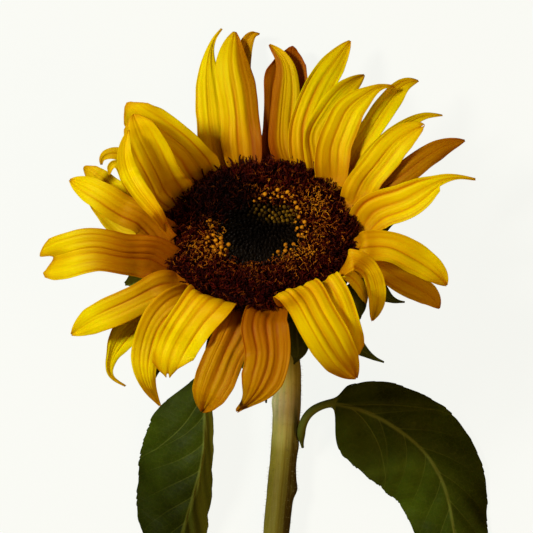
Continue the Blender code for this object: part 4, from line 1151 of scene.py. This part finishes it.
# where the florets have opened: anthers and curled stigmas, more on some sides
to_plane = np.linalg.inv(np.array([[EAST[0], NORTH[0]], [EAST[1], NORTH[1]]]))


def seen_at(places):
    """Grid coordinates, right and up from the disc's centre, seen from above."""
    return (places[:, 0] - HEAD[0])/UNIT, (places[:, 1] - HEAD[1])/UNIT


def on_disc(gx, gy, rise=0.0):
    """The point of the disc's surface that lies under a grid point."""
    xy = np.stack([np.asarray(gx, float), np.asarray(gy, float)], 1)*UNIT
    h = np.zeros(len(xy))
    for _ in range(6):
        ab = (xy - h[:, None]*AXIS[:2]) @ to_plane.T
        r = np.hypot(ab[:, 0], ab[:, 1])
        h = disc_height(r) + rise
    return r, np.arctan2(ab[:, 1], ab[:, 0])


def glow(gx, gy, spots):
    out = 0
    for cx, cy, rx, ry, w in spots:
        out = out + w*np.exp(-((gx - cx)/rx)**2 - ((gy - cy)/ry)**2)
    return out


def painted_shadow(places):
    """How deep a floret stands in the painted shadow over the disc's upper left, reaching into the middle."""
    gx, gy = seen_at(places)
    d = np.hypot((gx + 38)/46, (gy - 34)/34)
    e = np.hypot((gx + 10)/26, (gy - 6)/20)
    return np.clip(.9*(1 - smooth((d - .55)/.6)) + .75*(1 - smooth((e - .5)/.6)), 0, 1)


surface = base_at + AXIS*tip_h[:, None]
sx, sy = seen_at(surface)
# painted shadow over the disc's upper left and middle
dim = painted_shadow(surface)
open_ring = fr > 15.2
GOLD = [(53, 35, 15, 14, .95), (62, 8, 15, 17, .50), (40, -18, 19, 14, .85), (-58, -15, 22, 15, .80), (5, 44, 26, 8, .40),
        (-44, 8, 12, 12, .45), (10, -34, 40, 9, .25)]
gold = np.clip(.10 + glow(sx, sy, GOLD) + rng.normal(0, .16, N_FLORETS), 0, 1)


# corollas: five pointed lobes curling out of a short tube
cor_v, cor_f = lathe([(.30, -3.0, 0), (.50, -1.4, 0), (.58, -.5, .1), (.92, .15, 1.1), (1.12, .10, 1.9), (.80, -.05, 1.3), (.40, -.4, .2), (.2, -.9, 0)], 10, 5, .42)
sel = np.where(open_ring)[0]
tall = rng.normal(0, .40, len(sel)) - .25
spots = base_at[sel] + AXIS*(tip_h[sel] + tall)[:, None]
axes = fn[sel] + frad[sel]*(.25*((fr[sel] - 22)/12))[:, None] + rng.normal(0, .26, (len(sel), 3))
axes /= np.linalg.norm(axes, axis=1)[:, None]
tone = np.clip(rng.random(len(sel))**1.5*.8 + .35*(gold[sel] - .3), 0, 1)
spread(cor_v, cor_f, spots, axes, rng.random(len(sel))*6.28, .80 + .35*rng.random(len(sel)), tone,
       "corollas", COROLLA, "open_floret", dim=dim[sel])

# anther tubes: dark, slim, standing in the corollas
ant_v, ant_f = lathe([(.24, -2.0, 0), (.30, .2, 0), (.30, .9, 0), (.24, 1.25, .4), (.08, 1.5, 0)], 8, 4, .2)
spread(ant_v, ant_f, spots, axes + rng.normal(0, .12, axes.shape), rng.random(len(sel))*6.28, .7 + .5*rng.random(len(sel)), rng.random(len(sel))**2,
       "anther_tubes", SPIKE, "open_floret", dim=dim[sel])

# stigmas: two branches that curl away from each other
templates = []
for kind in range(6):
    r2 = np.random.default_rng(90 + kind)
    cu = .75 + .45*r2.random()
    lean = r2.normal(0, .30, 2)
    pts = [(0, 0, .9), (.10*cu + lean[0]*.2, lean[1]*.2, 1.45), (.45*cu, lean[1]*.6, 1.9), (.85*cu, lean[1], 1.75),
           (.98*cu, lean[1]*1.3, 1.30), (.74*cu, lean[1]*1.4, 1.05)]
    v1, f1 = strand(pts, .115)
    pts2 = [(-x*(.7 + .4*r2.random()), -y + .1, z*(.9 + .22*r2.random())) for x, y, z in pts]
    v2, f2 = strand(pts2, .115)
    templates.append((np.concatenate([v1, v2]), np.concatenate([f1, f2 + len(v1)])))
for kind, (sv, sf) in enumerate(templates):
    mine = (np.arange(len(sel)) % 6 == kind) & (rng.random(len(sel)) < .55 + .8*gold[sel])
    idx = np.where(mine)[0]
    tone = np.clip(.05 + 1.0*gold[sel][idx] + rng.normal(0, .16, len(idx)), 0, 1)
    ax2 = axes[idx] + rng.normal(0, .30, (len(idx), 3))
    ax2 /= np.linalg.norm(ax2, axis=1)[:, None]
    spread(sv, sf, spots[idx], ax2, rng.random(len(idx))*6.28, .65 + .45*rng.random(len(idx)), tone,
           "stigmas_%d" % (kind + 1), STIGMA, "open_floret", dim=dim[sel][idx]*.9)

# loose golden curls between the florets where most of them have opened
m = 2600
gr = np.sqrt(16.5**2 + (35.0**2 - 16.5**2)*rng.random(m))
ga = rng.random(m)*2*math.pi
gn, grad = disc_normal(gr, ga)
gp = HEAD + gr[:, None]*grad + AXIS*(disc_height(gr) + .55 + .8*rng.random(m))[:, None]
gx, gy = seen_at(gp)
want = glow(gx, gy, GOLD)
keep = rng.random(m) < np.clip(want*1.1, .06, 1)
curl_v, curl_f = strand([(-.5, 0, 0), (-.2, .12, .35), (.15, -.1, .45), (.45, .1, .2), (.5, .3, -.1)], .10)
ax2 = gn[keep] + rng.normal(0, .5, (keep.sum(), 3))
ax2 /= np.linalg.norm(ax2, axis=1)[:, None]
spread(curl_v, curl_f, gp[keep], ax2, rng.random(keep.sum())*6.28, .55 + .6*rng.random(keep.sum()),
       np.clip(.25 + .65*want[keep] + rng.normal(0, .15, keep.sum()), 0, 1), "loose_curls", STIGMA, "open_floret", dim=painted_shadow(gp[keep])*.85)

# pollen: beads on the youngest open florets, in broken clusters
bead_v, bead_f = lathe([(.12, -1.8, 0), (.20, -.6, 0), (.50, -.2, .1), (.80, .3, .25), (.84, .62, .3), (.55, 1.0, .3), (.12, 1.05, 0)], 10, 5, .16)
BEADS = [(4, 41, 1), (17, 44.5, 1), (27, 43, 1), (22, 38, .8), (17, 39, .7), (31, 37.5, .8), (29, 40, .7), (34.4, 32.3, .9), (37.2, 27.5, 1.05),
         (-1, 36.3, .7), (-7, 34.6, .6), (10, 37, .6), (24, 33, .55), (38.3, 17.5, .95), (44, 12.4, 1), (41, 7.6, 1), (36.8, 6.5, .9),
         (41.7, .3, .8), (38.3, -.4, .9), (46, 3, .6), (35, 13, .6), (25.7, -10, 1.05), (32.8, -10, .95), (24.4, -16.8, 1.05), (17.3, -17.9, 1.05),
         (30, -15, .6), (12, -20, .5), (-50.8, 14.6, .9), (-48, 8.7, .9), (-53, 11, .6), (-53.4, -2.4, .9), (-48.4, -.8, 1), (-40.2, -3.5, 1.05),
         (-45.3, -6.2, 1), (-40.5, -8.2, .9), (-32.5, -10.1, 1.1), (-48, -12.3, .9), (-44, -10, .8), (-40, -13.5, 1), (-46, -15.5, .7),
         (-40.6, -18.5, .9), (-35.5, -15, .8), (-36, -20.5, .6), (-55, -8, .6), (40, 22, .7), (33, 40, .6), (12, 43, .55), (-38, 2, .5)]
bx, by, bs = np.array(BEADS).T
bx, by, bs = (np.repeat(q, 2) for q in (bx, by, bs))
twin = np.arange(len(bx)) % 2 == 1
bx = bx + np.where(twin, rng.normal(0, 2.4, len(bx)), rng.normal(0, .2, len(bx)))
by = by + np.where(twin, rng.normal(0, 2.0, len(bx)) - 1.5, rng.normal(0, .2, len(bx)))
bs = np.where(twin, bs*.62, bs)
br, ba = on_disc(bx, by, .8)
bn, brad = disc_normal(br, ba)
bp = HEAD + br[:, None]*brad + AXIS*(disc_height(br) + .55 + .3*rng.random(len(br)))[:, None]
bn = bn + rng.normal(0, .22, bn.shape)
bn /= np.linalg.norm(bn, axis=1)[:, None]
spread(bead_v, bead_f, bp, bn, rng.random(len(br))*6.28, bs*.98, np.clip(np.where(twin, .2, .62) + .4*rng.random(len(br)), 0, 1),
       "pollen_beads", BEAD, "open_floret", dim=painted_shadow(bp)*.25)

# closed buds of the middle: pointed, dark, browner up the far slope
bud_v, bud_f = lathe([(.45, -2.4, 0), (.70, -.6, 0), (.76, .1, .1), (.60, .7, .3), (.30, 1.15, .4), (.06, 1.4, 0)], 8, 4, .18)
idx = np.where(fr <= 17.2)[0]
bn = fn[idx] - frad[idx]*(.25*(fr[idx]/16))[:, None] + rng.normal(0, .10, (len(idx), 3))
bn /= np.linalg.norm(bn, axis=1)[:, None]
warm = glow(sx[idx], sy[idx], [(16, 20, 24, 9, 1.0), (32, 24, 12, 12, .6), (-2, 28, 14, 7, .45), (26, -8, 10, 9, .35), (-34, -14, 10, 9, .4)])
tone = np.clip(.12 + .85*warm*(.6 + .6*rng.random(len(idx))) + .2*(fr[idx]/17)**3 + rng.normal(0, .06, len(idx)), 0, 1)
spread(bud_v, bud_f, base_at[idx] + AXIS*(tip_h[idx] - .5 + .25*rng.normal(size=len(idx)))[:, None], bn, rng.random(len(idx))*6.28,
       np.stack([.9 + .15*rng.random(len(idx))]*2 + [.8 + .4*rng.random(len(idx))], 1), tone,
       "closed_buds", BUD, "floret_bud", dim=np.clip(dim[idx] - warm*.9, 0, 1)*.8)

# fine dark bristles combed towards the middle
m = 1500
br = 15.5*np.sqrt(rng.random(m))
ba = rng.random(m)*2*math.pi
bn, brad = disc_normal(br, ba)
spike_v, spike_f = strand([(0, 0, -.8), (.03, 0, .3), (.12, 0, 1.0), (.35, .05, 1.7)], .06)
lean = bn - brad*.55 + rng.normal(0, .18, (m, 3))
lean /= np.linalg.norm(lean, axis=1)[:, None]
spread(spike_v, spike_f, HEAD + br[:, None]*brad + AXIS*(disc_height(br) + .1)[:, None], lean, rng.random(m)*6.28,
       .7 + .6*rng.random(m), np.clip(rng.random(m)*.45 + .1*(br/15), 0, 1), "centre_bristles", BUD, "floret_bud")

# chaff: dark points that stand out over the petals' feet
def chaff(name, m, r0, r1, size, seed, out):
    r3 = np.random.default_rng(seed)
    a3 = np.linspace(0, 2*math.pi, m, endpoint=False) + r3.normal(0, .03, m)
    c3 = r0 + (r1 - r0)*r3.random(m)
    _, rad3 = disc_normal(c3, a3)
    lean3 = rad3*(out*(.5 + .8*r3.random(m)))[:, None] + AXIS*(.6 + .5*r3.random(m))[:, None] + r3.normal(0, .25, (m, 3))
    lean3 /= np.linalg.norm(lean3, axis=1)[:, None]
    p3 = HEAD + c3[:, None]*rad3 + AXIS*(disc_height(c3) - .7)[:, None]
    v3, f3 = strand([(0, 0, -1.6), (.05, 0, 0), (.22, .05, 1.2), (.62, .1, 2.3), (1.15, .1, 2.9)], .42, 6)
    return spread(v3, f3, p3, lean3, r3.random(m)*6.28, np.stack([size*(.6 + .5*r3.random(m))]*2 + [size*(.5 + .75*r3.random(m)**1.5)], 1),
                  r3.random(m), name, SPIKE, "open_floret", dim=painted_shadow(p3)*.3)


chaff("rim_chaff", 230, 34.6, 36.6, 1.0, 301, .55)
chaff("rim_points", 64, 35.2, 36.8, 1.35, 302, .9)
chaff("rim_fringe", 420, 33.6, 37.2, .62, 303, .5)


# ------------------------------------------------------------- floor, light
def floor_material():
    m = bpy.data.materials.new("pale_floor")
    m.use_nodes = True
    t = m.node_tree
    t.nodes.clear()
    n = Net(t)
    out = n.add("ShaderNodeOutputMaterial")
    diff = n.add("ShaderNodeBsdfDiffuse")
    diff.inputs["Color"].default_value = (.07, .07, .068, 1)
    glow = n.add("ShaderNodeEmission")
    glow.inputs["Color"].default_value = (.985, 1, .955, 1)
    seen = n.add("ShaderNodeLightPath")
    n.link(n.math("MULTIPLY", seen.outputs["Is Camera Ray"], .90), glow.inputs["Strength"])
    add = n.add("ShaderNodeAddShader")
    n.link(diff.outputs[0], add.inputs[0])
    n.link(glow.outputs[0], add.inputs[1])
    n.link(add.outputs[0], out.inputs[0])
    return m


floor_mesh = bpy.data.meshes.new("floor")
bm = bmesh.new()
bmesh.ops.create_circle(bm, cap_ends=True, segments=96, radius=6.0)
bm.to_mesh(floor_mesh)
bm.free()
floor = bpy.data.objects.new("floor", floor_mesh)
MAKE.objects.link(floor)
floor_mesh.materials.append(floor_material())

scene = bpy.context.scene
world = bpy.data.worlds.new("studio")
scene.world = world
world.use_nodes = True
wt = world.node_tree
wt.nodes.clear()
wn = Net(wt)
seen = wn.add("ShaderNodeLightPath")
fill = wn.add("ShaderNodeBackground")
fill.inputs["Color"].default_value = (1, .53, .18, 1)
fill.inputs["Strength"].default_value = .12
pale = wn.add("ShaderNodeBackground")
pale.inputs["Color"].default_value = (.95, .95, .93, 1)
pale.inputs["Strength"].default_value = 1.0
pick = wn.add("ShaderNodeMixShader")
wn.link(seen.outputs["Is Camera Ray"], pick.inputs[0])
wn.link(fill.outputs[0], pick.inputs[1])
wn.link(pale.outputs[0], pick.inputs[2])
wn.link(pick.outputs[0], wn.add("ShaderNodeOutputWorld").inputs[0])

head_at = to_world(HEAD)


def softbox(name, at, size, power, colour=(1, 1, 1)):
    light = bpy.data.lights.new(name, "AREA")
    light.shape = "DISK"
    light.size = size
    light.energy = power
    light.color = colour
    obj = bpy.data.objects.new(name, light)
    MAKE.objects.link(obj)
    obj.location = head_at + np.array(at)
    d = -np.array(at)/np.linalg.norm(at)
    from mathutils import Vector
    obj.rotation_euler = Vector(d).to_track_quat("-Z", "Y").to_euler()
    return obj


softbox("key", (-1.08, .42, 1.15), .34, 25.6, (1, .975, .90))
softbox("soft_fill", (.5, -.1, 1.5), .8, 1.9, (1, .78, .5))

softbox("warm_bounce", (.95, -.75, .95), 1.0, 6.5, (1, .50, .15))

# --------------------------------------------------------------------- camera
SPAN = 533*UNIT*0.001                       # what the frame holds, across the head
FAR = 5.0
cam = bpy.data.cameras.new("camera")
cam.type = "PERSP"
cam.sensor_width = 36.0
cam.lens = 36.0*FAR/SPAN
cam.clip_start, cam.clip_end = .1, 40.0
camera = bpy.data.objects.new("camera", cam)
MAKE.objects.link(camera)
camera.location = to_world((5.5*UNIT, -31.5*UNIT, HEAD_HEIGHT)) + np.array((0, 0, FAR))
camera.rotation_euler = (0, 0, 0)
scene.camera = camera
scene.view_settings.view_transform = "Standard"
scene.view_settings.look = "None"
